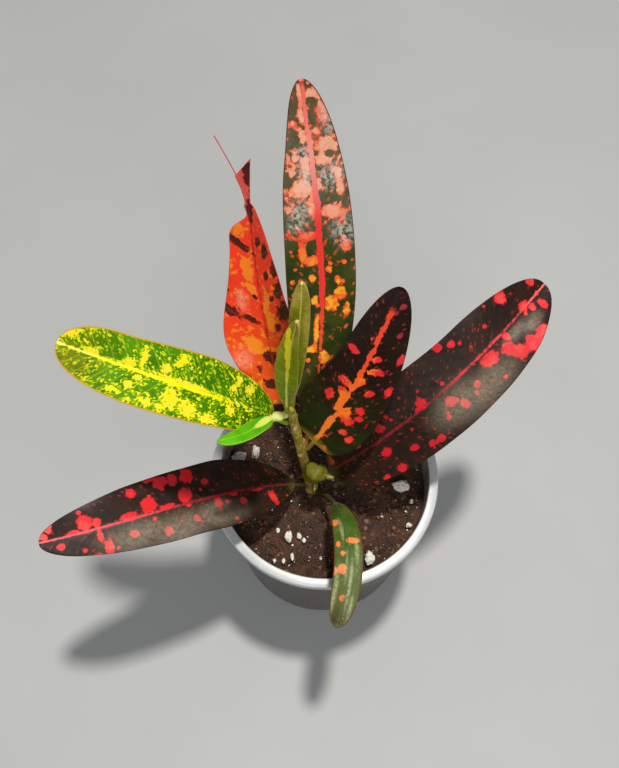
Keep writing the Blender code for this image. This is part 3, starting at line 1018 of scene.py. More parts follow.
def leaf_surface(leaf, settings):
    """The points of a leaf's skin, where they lie, and how near the margin each one is."""
    fewer = 2 if leaf.long < SMALL_LEAF else 1
    distances = ring_distances(leaf, settings.rings // fewer)
    left, right = side_widths(leaf, distances)
    place, along, side, up = section_frames(leaf, distances)

    across, face = section_spacing(settings.points // fewer)
    left, right, distances = left[:, None], right[:, None], distances[:, None]
    reach = np.where(across > 0, across * left, across * right)
    share = np.clip((distances - leaf.stalk) / (leaf.blade_end - leaf.stalk), 0, 1)
    far = np.broadcast_to(distances, reach.shape)
    spots = Spots(far, reach, across, face, share, np.maximum(left, right))

    flat = flatness(leaf, distances, spots.widest)
    height = skin_heights(leaf, settings, spots, flat) + blade_relief(leaf, settings, spots) * flat
    ahead = lobe_lean(leaf, settings, spots)
    skin_points = (place[:, None, :] + side[:, None, :] * (reach * MM)[..., None]
                   + up[:, None, :] * (height * MM)[..., None]
                   + along[:, None, :] * (ahead * MM)[..., None])
    margin = np.where(reach > 0, left, right) * (1 - np.abs(across))
    return skin_points, spots, margin


def make_leaf(leaf, settings, material, piece_name, stands_for):
    skin_points, spots, margin = leaf_surface(leaf, settings)
    far, reach = spots.far, spots.reach
    share, face = (np.broadcast_to(values, reach.shape) for values in (spots.share, spots.face))
    plan = np.stack([reach, far, margin], 2).reshape(-1, 3)
    form = np.stack([share, (1 - face) / 2, np.abs(reach)], 2).reshape(-1, 3)
    new_piece(piece_name, skin_points.reshape(-1, 3), skin(*reach.shape), material, leaf.slot,
              stands_for, plan=plan, form=form,
              hot=nearness(leaf.hot, far, reach, leaf.slope).ravel(),
              dark=nearness(leaf.dark, far, reach, leaf.slope).ravel(),
              pale=nearness(leaf.pale, far, reach, 0).ravel())


# ---------------------------------------------------------------- leaf finishes


class Look(NamedTuple):
    """How a leaf is coloured. Colours are given as for paint, and stops run from the blade's
    base at 0 to its tip at 1. Sizes are in millimetres. Coverage, at the base and the tip,
    says how much of the blade the blots take, and hearts are the lighter middles of blots."""

    ground: tuple = ((0, (40, 40, 18)), (0.25, (42, 26, 18)), (1, (46, 28, 26)))
    mottle: tuple = (58, 36, 28)
    blots: tuple = ((0, (236, 58, 34)), (0.3, (214, 34, 44)), (0.7, (226, 38, 50)), (1, (238, 60, 66)))
    rim: tuple = (150, 22, 32)
    heart: tuple = ((0, (244, 84, 40)), (1, (240, 66, 66)))
    heart_scale: float = 0.3
    heart_pull: float = 0.12
    by_rib: tuple = None
    by_rib_reach: float = 4.0
    coverage: tuple = (-1.7, -1.7)
    coverage_turn: tuple = (0.0, 1.0)
    drops: tuple = (7.5, 0.17)
    pull: float = 0.0
    pull_reach: float = 3.0
    blot_long: float = 3.6
    blot_wide: float = 3.0
    ragged: float = 2.4
    ragged_scale: float = 0.6
    heart_share: float = 0.0
    grain: float = 0.0
    speck: tuple = (132, 44, 40)
    speck_spacing: float = 2.3
    speck_size: float = 0.24
    rib: tuple = ((0, (120, 50, 34)), (0.2, (150, 28, 38)), (0.55, (196, 40, 50)), (1, (232, 70, 76)))
    rib_width: tuple = (0.45, 0.45, 0.35)
    rib_ragged: float = 0.5
    rib_end: float = 1.1
    vein: tuple = (74, 36, 30)
    vein_strength: float = 0.14
    margin: tuple = (30, 16, 14)
    margin_width: float = 0.3
    stalk: tuple = (84, 74, 34)
    under: tuple = (66, 42, 34)
    # Painted sheen: colour, strength and patchiness of the pale marks, a painted highlight on most leaves
    # and a real paler tone on a few.
    sheen_and_tone: tuple = (186, 164, 138)
    sheen_and_tone_strength: float = 0.62
    sheen_and_tone_patchy: float = 2.4
    rough: float = 0.45
    gloss: float = 0.18
    coat: float = 0.02


def painted(stops):
    return [(place, paint(*shade)) for place, shade in stops]


def blot_field(finish, look, share, off_rib, flow, even):
    """Above 0 inside a blot. Chance blots and the leaf's own marks are put together."""
    broad = finish.noise(flow, 1.0, 2.0, 0.5)
    ragged = finish.noise(even, look.ragged_scale, 3.0, 0.6)
    low, high = look.coverage
    cover = share.step(*look.coverage_turn) * (high - low) + low
    field = (broad - 0.5) * 7 + (ragged - 0.5) * 1.8 + cover
    if look.pull:
        field = field + (look.pull - off_rib * (look.pull / look.pull_reach)).most(0)
    if look.grain:
        field = field + (0.45 - finish.cells(even, 0.8, "Distance")) * look.grain
    if look.drops:
        spacing, size = look.drops
        drop = finish.cells(finish.scaled(even, (1 / spacing,) * 3), 1.0, "Distance")
        field = field.most((size - drop + (ragged - 0.5) * 0.22) * 9)
    placed = finish.attribute("hot") * 2.4 + (ragged - 0.5) * look.ragged
    cleared = finish.attribute("dark") * 2.4 + (ragged - 0.5) * look.ragged
    return field.most(placed).least(0 - cleared)


def speck_share(finish, look, across, slanted, even, fine, seed):
    """1 on the small specks between the blots, which crowd together in places."""
    spacing = 1 / look.speck_spacing
    place = finish.join(slanted * spacing, across * spacing, seed + 2)
    distance = finish.cells(place, 1.0, "Distance") + (fine - 0.5) * 0.25
    crowd = finish.noise(even, 0.35, 2.0, 0.5).step(0.38, 0.62)
    return crowd * (1 - distance.step(look.speck_size - 0.08, look.speck_size + 0.04))


def blot_colour(finish, look, share, off_rib, field, even, fine):
    """A blot's colours: hearts in its middle, a rim round it and, on one leaf, a band by the rib."""
    blot = finish.ramp(share, painted(look.blots))
    middle = finish.attribute("hot").most(0) * look.heart_pull
    hearts = finish.noise(even, look.heart_scale, 3.0, 0.6) + middle
    patch = hearts.step(0.5 - look.heart_share, 0.62 - look.heart_share)
    blot = finish.mix(patch * 0.85, blot, finish.ramp(share, painted(look.heart)))
    if look.by_rib:
        near = 1 - (off_rib + (patch - 0.5) * 3).step(look.by_rib_reach * 0.4, look.by_rib_reach)
        near = near * (1 - share.step(0.7, 0.85))
        blot = finish.mix(near, blot, paint(*look.by_rib))
    blot = finish.mix(field.step(0.0, 0.4), paint(*look.rim), blot)
    return finish.mix(fine.step(0.5, 0.8) * 0.3, blot, paint(*look.rim))


def rib_share(finish, look, share, off_rib, even):
    """1 on the coloured rib, whose edges wander and which may end before the tip."""
    start, middle, end = look.rib_width
    wander = finish.noise(even, 0.45, 3.0, 0.65) - 0.5
    width = share.step(0.2, 0.5) * (middle - start) + share.step(0.5, 1) * (end - middle) + start
    width = width + wander * look.rib_ragged * 2
    beside = off_rib.step(width - 0.15, width + 0.15)
    return (1 - beside) * (1 - share.step(look.rib_end - 0.05, look.rib_end))


def leaf_finish(name, look, seed, vein_spacing):
    """A waxy blade: ground, flecks, blots, painted sheen (a real paler tone on a few leaves), side veins,
    margin, rib, stalk and underside.
    """
    finish = Finish(name)
    across, along, margin = finish.split(finish.attribute("plan", "Vector"))
    share, under, off_rib = finish.split(finish.attribute("form", "Vector"))
    slanted = along - off_rib * VEIN_SLANT
    even = finish.join(along, across, seed)
    fine = finish.noise(even, 1.6, 3.0, 0.65)
    soft = finish.noise(finish.join(along, across, seed + 9), 0.16, 2.0, 0.5)

    body = finish.ramp(share, painted(look.ground))
    body = finish.mix(soft.step(0.4, 0.62) * 0.5, body, paint(*look.mottle))
    body = finish.mix(fine.step(0.45, 0.75) * 0.3, body, paint(*look.mottle))
    specks = speck_share(finish, look, across, slanted, even, fine, seed)
    body = finish.mix(specks * 0.85, body, paint(*look.speck))

    flow = finish.join(slanted * (1 / look.blot_long), across * (1 / look.blot_wide), seed)
    field = blot_field(finish, look, share, off_rib, flow, even)
    blot = blot_colour(finish, look, share, off_rib, field, even, fine)
    body = finish.mix(field.step(-0.34, 0.16), body, blot)

    # Painted sheen: the pale marks lay a painted highlight on most leaves, and a real paler tone on a
    # few, broken into patches.
    streaks = (finish.noise(even, 0.9, 4.0, 0.7) - 0.5) * look.sheen_and_tone_patchy + 0.5
    sheen_and_tone = finish.attribute("pale").step(-0.5, 0.9) * streaks.most(0).least(1) * look.sheen_and_tone_strength
    body = finish.mix(sheen_and_tone, body, paint(*look.sheen_and_tone))

    half_spacing = vein_spacing / MM / 2
    vein_away = finish.node("ShaderNodeMath", {"operation": "PINGPONG"}, [slanted, half_spacing])
    vein = (1 - vein_away.step(0.1, 0.45)) * off_rib.step(0.5, 1.5)
    body = finish.mix(vein * look.vein_strength, body, paint(*look.vein))
    edge = 1 - (margin + (fine - 0.5) * 0.3).step(look.margin_width * 0.5, look.margin_width * 1.3)
    body = finish.mix(edge * (1 - under) * share.step(0.0, 0.05), body, paint(*look.margin))

    rib = rib_share(finish, look, share, off_rib, even)
    body = finish.mix(rib, body, finish.ramp(share, painted(look.rib)))
    body = finish.mix(1 - share.step(0.0, 0.05), body, paint(*look.stalk))
    body = finish.mix(under * 0.7, body, paint(*look.under))

    grain = finish.noise(finish.join(along, across, seed + 1), 5.0, 2.0, 0.5)
    relief = grain * 0.5 + soft - vein * 0.3
    bump = finish.bump(relief, 0.08 * MM, 0.4)
    rough = look.rough + (fine - 0.5) * 0.2 + under * 0.15
    return finish.surface(Base_Color=body, Roughness=rough, Normal=bump, Coat_Weight=look.coat,
                          Coat_Roughness=0.3, Specular_IOR_Level=look.gloss)


LOOKS = {
    "leaf_peach_green": Look(
        # The grey-green ground from 0.64 to 0.85 is partly the leaf's own tone and partly painted sheen
        # on the upper blade.
        ground=((0, (30, 44, 4)), (0.4, (36, 56, 8)), (0.55, (50, 62, 18)), (0.64, (92, 98, 74)),
                (0.85, (104, 102, 80)), (1, (100, 84, 50))),
        mottle=(72, 76, 26), rim=(226, 84, 44), coverage=(-1.9, -0.5), coverage_turn=(0.5, 0.64),
        blots=((0, (246, 140, 30)), (0.3, (248, 120, 36)), (0.42, (248, 104, 36)), (0.5, (250, 112, 44)),
               (0.55, (248, 96, 50)), (0.585, (246, 68, 58)), (0.62, (250, 110, 84)),
               (0.67, (254, 156, 118)), (0.8, (255, 164, 126)), (0.88, (250, 110, 88)),
               (1, (255, 166, 128))),
        heart=((0, (252, 196, 36)), (0.42, (253, 190, 40)), (0.5, (253, 164, 40)), (0.57, (252, 110, 60)),
               (0.66, (255, 190, 156)), (0.9, (255, 190, 160)), (1, (255, 184, 150))),
        heart_pull=0.2, blot_long=3.0, blot_wide=2.6, ragged=3.6, drops=(4.6, 0.19), speck=(236, 96, 44),
        speck_spacing=3.0, speck_size=0.28,
        rib=((0, (228, 96, 38)), (0.3, (234, 76, 44)), (0.4, (240, 54, 46)), (0.62, (242, 58, 54)),
             (0.7, (250, 120, 116)), (0.8, (255, 164, 152)), (0.9, (252, 130, 118)), (1, (248, 110, 84))),
        rib_width=(0.35, 1.15, 0.6), rib_ragged=1.0, vein_strength=0.08, margin=(92, 40, 30),
        margin_width=0.4, stalk=(150, 96, 48), under=(122, 74, 52), sheen_and_tone=(222, 216, 208),
        sheen_and_tone_strength=0.75, sheen_and_tone_patchy=7.0),
    "leaf_red_orange": Look(
        ground=((0, (52, 40, 16)), (0.45, (62, 28, 16)), (1, (66, 26, 24))), mottle=(96, 32, 26),
        rim=(160, 36, 26), coverage=(1.5, 1.5), ragged=5.0,
        blots=((0, (224, 90, 20)), (0.3, (244, 80, 24)), (0.5, (250, 60, 30)), (0.96, (248, 60, 36)),
               (1, (222, 88, 76))),
        heart=((0, (252, 170, 32)), (0.35, (252, 150, 34)), (0.8, (250, 140, 36)), (0.97, (252, 140, 34)),
               (1, (236, 110, 96))),
        heart_pull=0.5, heart_scale=0.5, heart_share=-0.04, blot_long=6.0, blot_wide=4.0, drops=None,
        speck=(150, 34, 22), rib_width=(0.35, 0.3, 0.25), rib_ragged=0.4, rib_end=1.0,
        rib=((0, (180, 74, 26)), (0.3, (140, 40, 24)), (0.8, (176, 40, 28)), (1, (120, 36, 30))),
        vein=(252, 140, 44), vein_strength=0.1, margin=(206, 74, 60), margin_width=0.3,
        stalk=(170, 84, 34), under=(186, 60, 36), sheen_and_tone=(252, 176, 150), sheen_and_tone_strength=0.75),
    "leaf_lime_yellow": Look(
        ground=((0, (50, 100, 0)), (0.4, (70, 132, 0)), (0.75, (84, 138, 0)), (0.88, (106, 134, 4)),
                (1, (126, 138, 10))),
        mottle=(38, 92, 0), rim=(180, 204, 6), coverage=(-0.9, -0.75), pull=1.4, pull_reach=1.4,
        blot_long=1.5, blot_wide=1.7, grain=3.2, ragged=9.0, ragged_scale=1.0, drops=None,
        heart=((0, (250, 226, 60)), (1, (252, 208, 44))), heart_share=0.04,
        blots=((0, (190, 206, 6)), (0.3, (236, 222, 14)), (1, (226, 212, 24))), speck=(196, 216, 6),
        speck_spacing=0.95, speck_size=0.44,
        rib=((0, (96, 160, 40)), (0.2, (206, 216, 34)), (0.4, (252, 234, 8)), (0.8, (250, 236, 40)),
             (1, (236, 226, 120))),
        rib_width=(0.2, 0.6, 0.3), rib_ragged=0.6, vein=(206, 216, 40), vein_strength=0.2,
        margin=(198, 148, 36), margin_width=0.55, stalk=(140, 160, 50), under=(150, 176, 70),
        sheen_and_tone=(96, 84, 8), sheen_and_tone_strength=0.9, sheen_and_tone_patchy=2.5, rough=0.6, gloss=0.08, coat=0.0),
    "leaf_dark_red_spots": Look(
        ground=((0, (28, 30, 10)), (0.25, (28, 20, 12)), (1, (32, 22, 16))), mottle=(58, 30, 20),
        blots=((0, (222, 62, 24)), (0.14, (202, 36, 32)), (0.36, (190, 26, 34)), (0.5, (220, 30, 34)),
               (0.75, (220, 34, 42)), (1, (232, 54, 54))),
        rim=(120, 20, 28),
        heart=((0, (232, 76, 44)), (0.4, (176, 28, 38)), (0.7, (236, 52, 56)), (1, (250, 92, 86))),
        heart_scale=0.16, ragged=3.2, drops=(5.6, 0.16), speck=(130, 44, 32), speck_spacing=2.0,
        speck_size=0.28, sheen_and_tone=(178, 164, 142), sheen_and_tone_patchy=1.2, sheen_and_tone_strength=0.7,
        rib=((0, (96, 44, 30)), (0.2, (120, 26, 34)), (0.48, (150, 30, 42)), (0.6, (216, 48, 56)),
             (0.85, (230, 66, 70)), (1, (236, 110, 108)))),
    "leaf_dark_orange_rib": Look(
        ground=((0, (30, 44, 6)), (0.3, (34, 36, 8)), (0.5, (30, 16, 8)), (1, (30, 15, 10))),
        mottle=(30, 19, 8), by_rib=(240, 118, 30), by_rib_reach=4.6, ragged=4.0, drops=None,
        blots=((0, (222, 60, 34)), (0.3, (216, 40, 40)), (0.7, (206, 34, 46)), (0.76, (134, 38, 44)),
               (1, (130, 38, 54))),
        heart=((0, (236, 92, 40)), (0.3, (226, 52, 44)), (0.7, (214, 44, 44)), (0.76, (150, 44, 52)),
               (1, (140, 44, 60))),
        rib=((0, (226, 130, 40)), (0.35, (232, 108, 34)), (0.55, (228, 74, 36)), (1, (220, 54, 34))),
        rib_width=(0.8, 0.8, 0.9), rib_ragged=1.6, rib_end=0.9, stalk=(120, 96, 30), gloss=0.1, coat=0.0),
    "leaf_green_orange_spots": Look(
        ground=((0, (40, 52, 10)), (0.25, (58, 92, 14)), (0.5, (66, 92, 30)), (0.8, (84, 92, 46)),
                (0.93, (76, 70, 44)), (1, (60, 44, 34))),
        mottle=(92, 104, 48), rim=(190, 110, 56), coverage=(-3.2, -3.2), ragged=3.4, drops=None,
        blots=((0, (222, 112, 46)), (0.6, (226, 122, 74)), (1, (190, 70, 50))),
        heart=((0, (232, 132, 60)), (1, (236, 146, 96))), speck=(132, 118, 62), speck_spacing=2.0,
        rib=((0, (62, 84, 36)), (0.5, (80, 104, 56)), (1, (84, 100, 60))), rib_width=(0.2, 0.2, 0.15),
        rib_ragged=0.3, vein=(52, 70, 32), vein_strength=0.2, margin=(96, 64, 36), margin_width=0.5,
        stalk=(66, 62, 34), under=(96, 112, 62), sheen_and_tone=(186, 190, 146), sheen_and_tone_strength=0.95),
    "leaf_young": Look(
        ground=((0, (92, 116, 4)), (0.5, (142, 152, 10)), (1, (186, 168, 44))), mottle=(98, 118, 6),
        rim=(190, 188, 26), coverage=(-3.4, -3.4), ragged=1.6, drops=None,
        blots=((0, (250, 226, 12)), (1, (250, 222, 30))),
        heart=((0, (250, 230, 20)), (1, (250, 230, 20))), speck=(172, 172, 60), speck_spacing=1.6,
        speck_size=0.26, rib=((0, (206, 206, 96)), (1, (226, 216, 110))), rib_width=(0.35, 0.3, 0.2),
        rib_ragged=0.3, vein=(186, 186, 96), vein_strength=0.25, margin=(180, 150, 92), margin_width=0.3,
        stalk=(128, 138, 34), under=(140, 148, 40), sheen_and_tone=(226, 198, 96), sheen_and_tone_strength=0.9),
    "leaf_bright_green": Look(
        ground=((0, (86, 170, 14)), (1, (92, 184, 14))), mottle=(62, 150, 8), rim=(150, 200, 40),
        coverage=(-4.0, -4.0), drops=None, speck=(120, 196, 40), speck_spacing=2.0, speck_size=0.2,
        rib=((0, (214, 228, 110)), (0.34, (206, 224, 90)), (0.42, (130, 200, 40)), (1, (130, 204, 36))),
        rib_width=(1.2, 0.2, 0.1), rib_ragged=0.2, vein=(110, 190, 36), vein_strength=0.25,
        margin=(140, 204, 60), margin_width=0.3, stalk=(222, 234, 140), under=(120, 180, 60)),
}


# ---------------------------------------------------------------- leaf rows


def at(*marks):
    """Oval marks, each given by its distance from the stem, its distance to the left of the
    rib, and its reach along and across, in millimetres."""
    return marks


LEAVES = (
    Leaf("leaf_back", "leaf_peach_green", 95, (70, 94, 112), (46, 57, 69.5), (1.8, -5.7), 135, 10, 12.2,
         widest=0.48, base=0.5, tip=1.95,
         swells=((-1, 0.5, 0.3, -0.5), (1, 0.88, 0.1, -0.9)),
         hot=at((37, -1.5, 2.5, 2), (40, 3, 1.5, 2), (47, 1.8, 7, 0.9), (48, -5.5, 1.7, 1.7),
                (56, -8.5, 2.5, 1.3), (58, -3.2, 3, 2.4), (62, -6.3, 2.2, 2.2), (67, -5.5, 1.5, 1.2),
                (59, 2.5, 1.7, 1.4), (67.5, 3.2, 1.5, 1.3), (70.5, -2.6, 1.3, 1.2), (74, 3, 1.8, 3),
                (77.5, 6, 4.5, 1.5), (83, 4, 1.6, 4), (79, -8.5, 2.2, 2), (91, -5, 2.6, 4.2),
                (92, 2, 1.8, 1.7), (100, 4.5, 3.2, 4.6), (99, -8, 3, 1.5), (104, -7, 2.6, 2),
                (101, -1.6, 2, 1.2), (109, -3.5, 2.2, 3), (108, 2.5, 4.5, 1.5), (111, 5.2, 1.4, 1.3),
                (106.5, 7, 1.5, 1), (113.5, -5, 2.6, 4), (117, 2, 2, 2), (118, -2.6, 1.5, 1.2),
                (122, 4.3, 1.2, 1.2), (124.5, 1.6, 3, 1.1), (124, -5, 3.4, 2), (130, -3, 2, 2.4),
                (131, 1, 3, 1)),
         dark=at((45, -5, 4.5, 4), (52, -5, 3, 4), (65, -2.5, 2, 2), (63, 5, 3, 2.5),
                 (78.5, 3.6, 1.8, 1.4), (84, -4, 3, 4), (86, -9, 2, 1.5), (76, -5, 3, 3),
                 (92, 5.5, 3.6, 2.5), (95.5, -5, 1.2, 4), (102, -4.5, 2.6, 2.2), (110.5, -5.6, 1.2, 1.5),
                 (112, 2.6, 1.5, 1.2), (106, 4.6, 1.3, 1), (116.5, 5, 3, 1.8), (126.5, 4, 3, 1.4),
                 (122, -1.8, 2.2, 1), (127.5, -2.2, 1.6, 1.5)),
         pale=at((92, 6, 5, 4), (88, 7.5, 3, 3), (105, 2.5, 6, 3), (112, 3, 3, 2.5), (84, -8, 6, 4),
                 (103, -5, 5, 5), (121, -6.5, 5, 2.5))),
    Leaf("leaf_red_twisted", "leaf_red_orange", 120, (123, 102, 98), (61, 63, 52), (-11, -50), 103, 5,
         13.4, widest=0.35, base=0.5, tip=1.3, curl=Curl(81, 1.0, 9, 5.6, 0.16, 40), slope=0.7,
         swells=((-1, 0.15, 0.2, -4.0), (-1, 0.65, 0.3, -2.0), (1, 0.24, 0.1, -1.4), (1, 0.42, 0.1, 0.8),
                 (1, 0.7, 0.12, -1.2), (1, 0.86, 0.05, 0.9), (1, 0.95, 0.04, -4.0)),
         hot=at((73, 5, 3, 3), (58.5, 3, 6, 2.2), (52, 2.4, 3, 2), (48, -2, 5, 1.6), (40, -2.4, 5, 1.8),
                (31, 4.5, 4, 5), (28.5, -3, 2, 2), (15, 7, 3, 2), (61, 9, 3, 1.5)),
         dark=at((67.5, 5, 1.5, 4), (68.5, -1.8, 1.6, 1.1), (66.5, -4.2, 2.2, 1.2), (61, -7.2, 3, 1.8),
                 (53.5, -7.4, 3, 1.8), (46, -8.5, 3.6, 3.2), (57.5, -3.4, 1.6, 0.9), (49, -4, 1.2, 1),
                 (38, -4.5, 1.4, 1.1), (27, -8, 2, 1.4), (58, 11, 1.6, 1.2), (52.5, 11.4, 1, 1.4),
                 (44.5, 10, 1.9, 3.4), (41, 4, 1.3, 2.6), (49, 1.8, 0.9, 0.8), (34, -6.5, 2.2, 1.6),
                 (25, 0.5, 2.6, 2.2), (20, -2, 3, 2.4), (15, 3, 2.2, 1.8), (78.5, -0.4, 3.6, 1.1),
                 (87.5, -3.6, 3.6, 2.2)),
         pale=at((27, 9, 4, 3), (48, 6, 4, 2))),
    Leaf("leaf_lime", "leaf_lime_yellow", 119, (194, 175, 159), (58, 33, 2), (-10, -18), 87, 7, 11.6,
         widest=0.37, base=0.42, tip=3.8,
         swells=((1, 0.25, 0.25, -1.6), (-1, 0.7, 0.15, -1.2)),
         hot=at((45, -1.1, 11, 0.8), (52.5, -3.8, 1.4, 1.6), (49, -6, 1.6, 1.2), (48, -8, 1.6, 1.6),
                (60, -4.5, 1, 3.2), (64, -1.7, 2, 1.5), (76, -1.2, 2.5, 0.9), (26.5, -7.5, 1.4, 2.2),
                (28, -4.5, 1.4, 1.6), (21, -6, 1.8, 1.8), (49, 5, 2.6, 3.6), (43, 6.5, 3, 2.6),
                (36, 8.2, 3, 1.7), (28, 2.6, 1.6, 2), (60, 2, 1.4, 1), (62, 5, 1.4, 1.4),
                (56, 8.6, 2, 1.4), (51.5, 9, 1.8, 1.2), (66, 8, 2, 1), (84.5, -4.5, 3, 1.8)),
         dark=at((14, 0, 3.5, 9), (36, -4.5, 2.6, 2.6), (45, -4.4, 1.6, 1.6), (54, 3, 2, 2),
                 (42, 1.8, 1.6, 1.2), (70, -4.5, 4, 3), (68, 3, 3, 2.5)),
         pale=at((83, 5, 10, 5.6))),
    Leaf("leaf_low_left", "leaf_dark_red_spots", 72, (197, 204.5, 194), (41, 22.5, 4), (-5, -11), 105,
         4.6, 12.8, widest=0.36, base=0.6, tip=2.2,
         hot=at((17.5, 5, 1.7, 3.6), (23, 0.6, 3, 0.8), (31, 4.2, 1.5, 1.5), (34, 0.6, 2, 0.9),
                (41, 2.8, 1.6, 2.4), (44, -6, 1.6, 1.2), (50.5, -9.5, 2.8, 2.8), (52.5, -3, 2.8, 2.7),
                (56, -9.5, 2, 2.3), (60.5, -9.5, 2.4, 2.3), (64, -11.4, 2.6, 1), (66.5, -3, 3.2, 2.6),
                (60, -0.8, 3, 1), (74, -1.2, 3.4, 1.3), (71.5, -8.5, 2, 1.6), (51.5, 6.5, 1.3, 1.6),
                (62.5, 8, 1.6, 2), (74, 5.5, 1.9, 1.5), (85, 3, 1.2, 2.4), (83, 7.5, 1.7, 2.6),
                (87.5, 9.4, 2, 1), (89, -3, 2.7, 2.7), (85, -2, 1.5, 1.7), (93.5, -0.7, 2.6, 0.9),
                (98, 3, 1.5, 1.3), (101.5, -4.5, 1.9, 2.4), (103, -1.5, 1.4, 1.4)),
         pale=at((44, 7, 12, 5), (58, 8, 14, 6), (72, 6, 14, 5))),
    Leaf("leaf_right", "leaf_dark_red_spots", 75, (7, 33, 49), (47, 31.5, 14), (12, 26), 117, 7.7, 15.8,
         widest=0.41, base=0.35, tip=3.0,
         swells=((1, 0.6, 0.15, -1.0),),
         hot=at((10, 3, 1.5, 1.5), (24.5, 3, 1.7, 1.2), (25, -13.5, 1.3, 1.3), (29.5, -13, 1.5, 1.2),
                (33.5, -5, 2.4, 1.8), (36, 4, 1.8, 2), (36, -13, 1.7, 1.7), (43.5, -9.5, 1.8, 1.3),
                (49.5, -12, 1.3, 1.2), (53, -12.5, 1.4, 1.6), (55, 1.5, 2.3, 2.3), (59.5, -8.5, 1.1, 1.1),
                (63.5, -4.7, 2.2, 2.1), (67, -8.5, 1.5, 2.2), (73.5, 13.3, 1.7, 2.2),
                (78, 10.5, 1.5, 1.5), (74.5, -6.5, 1.4, 1.4), (83.5, -3.2, 3.8, 2.6),
                (93.5, -2, 1.5, 1.7), (91, -5.5, 2.5, 3), (93, -9, 2.8, 3), (98, -10.5, 3.4, 3),
                (103, -10.5, 3.4, 2.6), (101.5, 9.5, 2.2, 2.8), (105.5, 0.8, 2.2, 1.9),
                (107.5, -2, 1.4, 1.4), (111, -4, 1.5, 2.4), (113.5, 5, 1.4, 2.4)),
         pale=at((66, -7, 12, 7), (76, -9, 14, 6), (97, -3.4, 6, 2.2), (103, -5.5, 5, 2.4))),
    Leaf("leaf_middle", "leaf_dark_orange_rib", 97, (30, 51, 62), (51, 46, 43), (18, 17), 72, 3.9, 14.6,
         widest=0.28, base=0.3, tip=1.4, slope=0.4,
         swells=((1, 0.55, 0.2, -1.8),),
         hot=at((4.5, -4, 1.6, 1.6), (4, -7.5, 1.6, 1.6), (14, 0.4, 5, 1.2), (22, -2.5, 2.6, 2.4),
                (20, -5, 1.8, 2.4), (15.5, -6, 1.2, 2), (15, -9.5, 1.4, 1.4), (26, -6.6, 1.6, 1.6),
                (23.5, -8, 1.2, 1.6), (25.5, 6, 2.2, 1.7), (24, 1.2, 4, 1.3), (28.5, 2.5, 1.6, 2.2),
                (32.5, 3.2, 1.4, 3.4), (35, -1.5, 2, 1.7), (33, -6, 1.3, 1.6), (41, -4.3, 1.5, 3),
                (45, -2.6, 1.3, 1.6), (45.5, 6.6, 1.3, 2.2), (49, -10, 2.2, 1.2), (66, -3, 1.2, 0.9),
                (37, -11.5, 2, 1.4), (63, -1.5, 1, 0.8), (56.5, -6, 1.2, 0.8))),
    Leaf("leaf_front", "leaf_green_orange_spots", 69, (-44.5, -82.5, -110.5), (54, 24, -40.5), (1.5, 3.3),
         71.7, 19, 5.2, widest=0.5, base=0.3, tip=4.0, fold=-8,
         hot=at((30, -3.2, 1.8, 1.2), (40, 1.8, 1.2, 2.4), (45, -2, 1, 0.9), (51, -2, 1.9, 1.5),
                (52, -4.6, 1.8, 0.8), (61, -0.6, 1.3, 1), (69.5, -3.6, 1.3, 1.3), (41, -3.5, 1.2, 0.8)),
         pale=at((34, -1.6, 6, 0.7), (44, 3, 5, 0.9), (56, 1.2, 10, 0.6), (60, -3.6, 10, 0.9),
                 (50, -0.6, 6, 0.5), (64, 2.8, 5, 0.7))),
    Leaf("leaf_young_front", "leaf_young", 128, (94, 60, 36), (85, 81, 75), (-2, -2), 50, 2.5, 4.3,
         widest=0.5, base=0.6, tip=1.8, foot_shift=(-1.0, -1.3, 0), rib_height=0.25,
         hot=at((42, 1.9, 3, 0.9), (37.5, 1.2, 3.2, 1.2), (33, 0.5, 4, 1.2), (28, 0.1, 4, 0.9),
                (22, 0, 5, 0.6))),
    Leaf("leaf_young_back", "leaf_young", 128, (72, 72.5, 81), (80, 76, 78), (-1, -1), 58, 4.0, 3.4,
         widest=0.64, base=0.5, tip=2.4, foot_shift=(0.9, 1.4, 0), rib_height=0.25,
         pale=at((42, -2.5, 16, 1.6), (52, 1, 5, 2.4))),
    Leaf("leaf_small_green", "leaf_bright_green", 125, (212, 232, 191), (43, 38, 19), (2, 1), 34.5, 7.7,
         3.1, widest=0.4, base=0.4, tip=1.95, knob=(3.6, 1.7, 0.9), stalk_radius=1.2, rib_height=0.7),
)

SHOOT_LEAVES = (
    Leaf("side_shoot", "green_shoot", 88, (-44, -34, -26), (78, 24, -34), (0, 0), 8.6, 1.0, 3.4,
         widest=0.5, base=0.4, tip=3.0, foot=(-5.0, -2.2, 86.6), stalk_radius=0.7, rib_height=0.12,
         fold=-14),
    Leaf("side_shoot", "green_shoot", 88, (-28, -16, -10), (24, 6, -12), (0, 0), 6.4, 1.0, 1.2,
         widest=0.5, base=0.6, tip=2.0, foot=(-2.4, -4.4, 87.6), stalk_radius=0.6, rib_height=0.12,
         fold=25),
    Leaf("side_shoot", "green_shoot", 88, (-96, -100, -96), (-10, -40, -66), (0, 0), 6.6, 1.0, 1.2,
         widest=0.4, base=0.6, tip=2.0, foot=(-3.2, -4.8, 87.0), stalk_radius=0.7, rib_height=0.12,
         fold=-20),
)


def make_leaves(settings):
    materials = {}
    for number, (name, look) in enumerate(LOOKS.items(), 1):
        materials[name] = leaf_finish(name, look, 3.7 * number, settings.vein_spacing)
    for leaf in LEAVES:
        make_leaf(leaf, settings, materials[leaf.slot], leaf.node.replace("leaf", "blade"), [leaf.node])


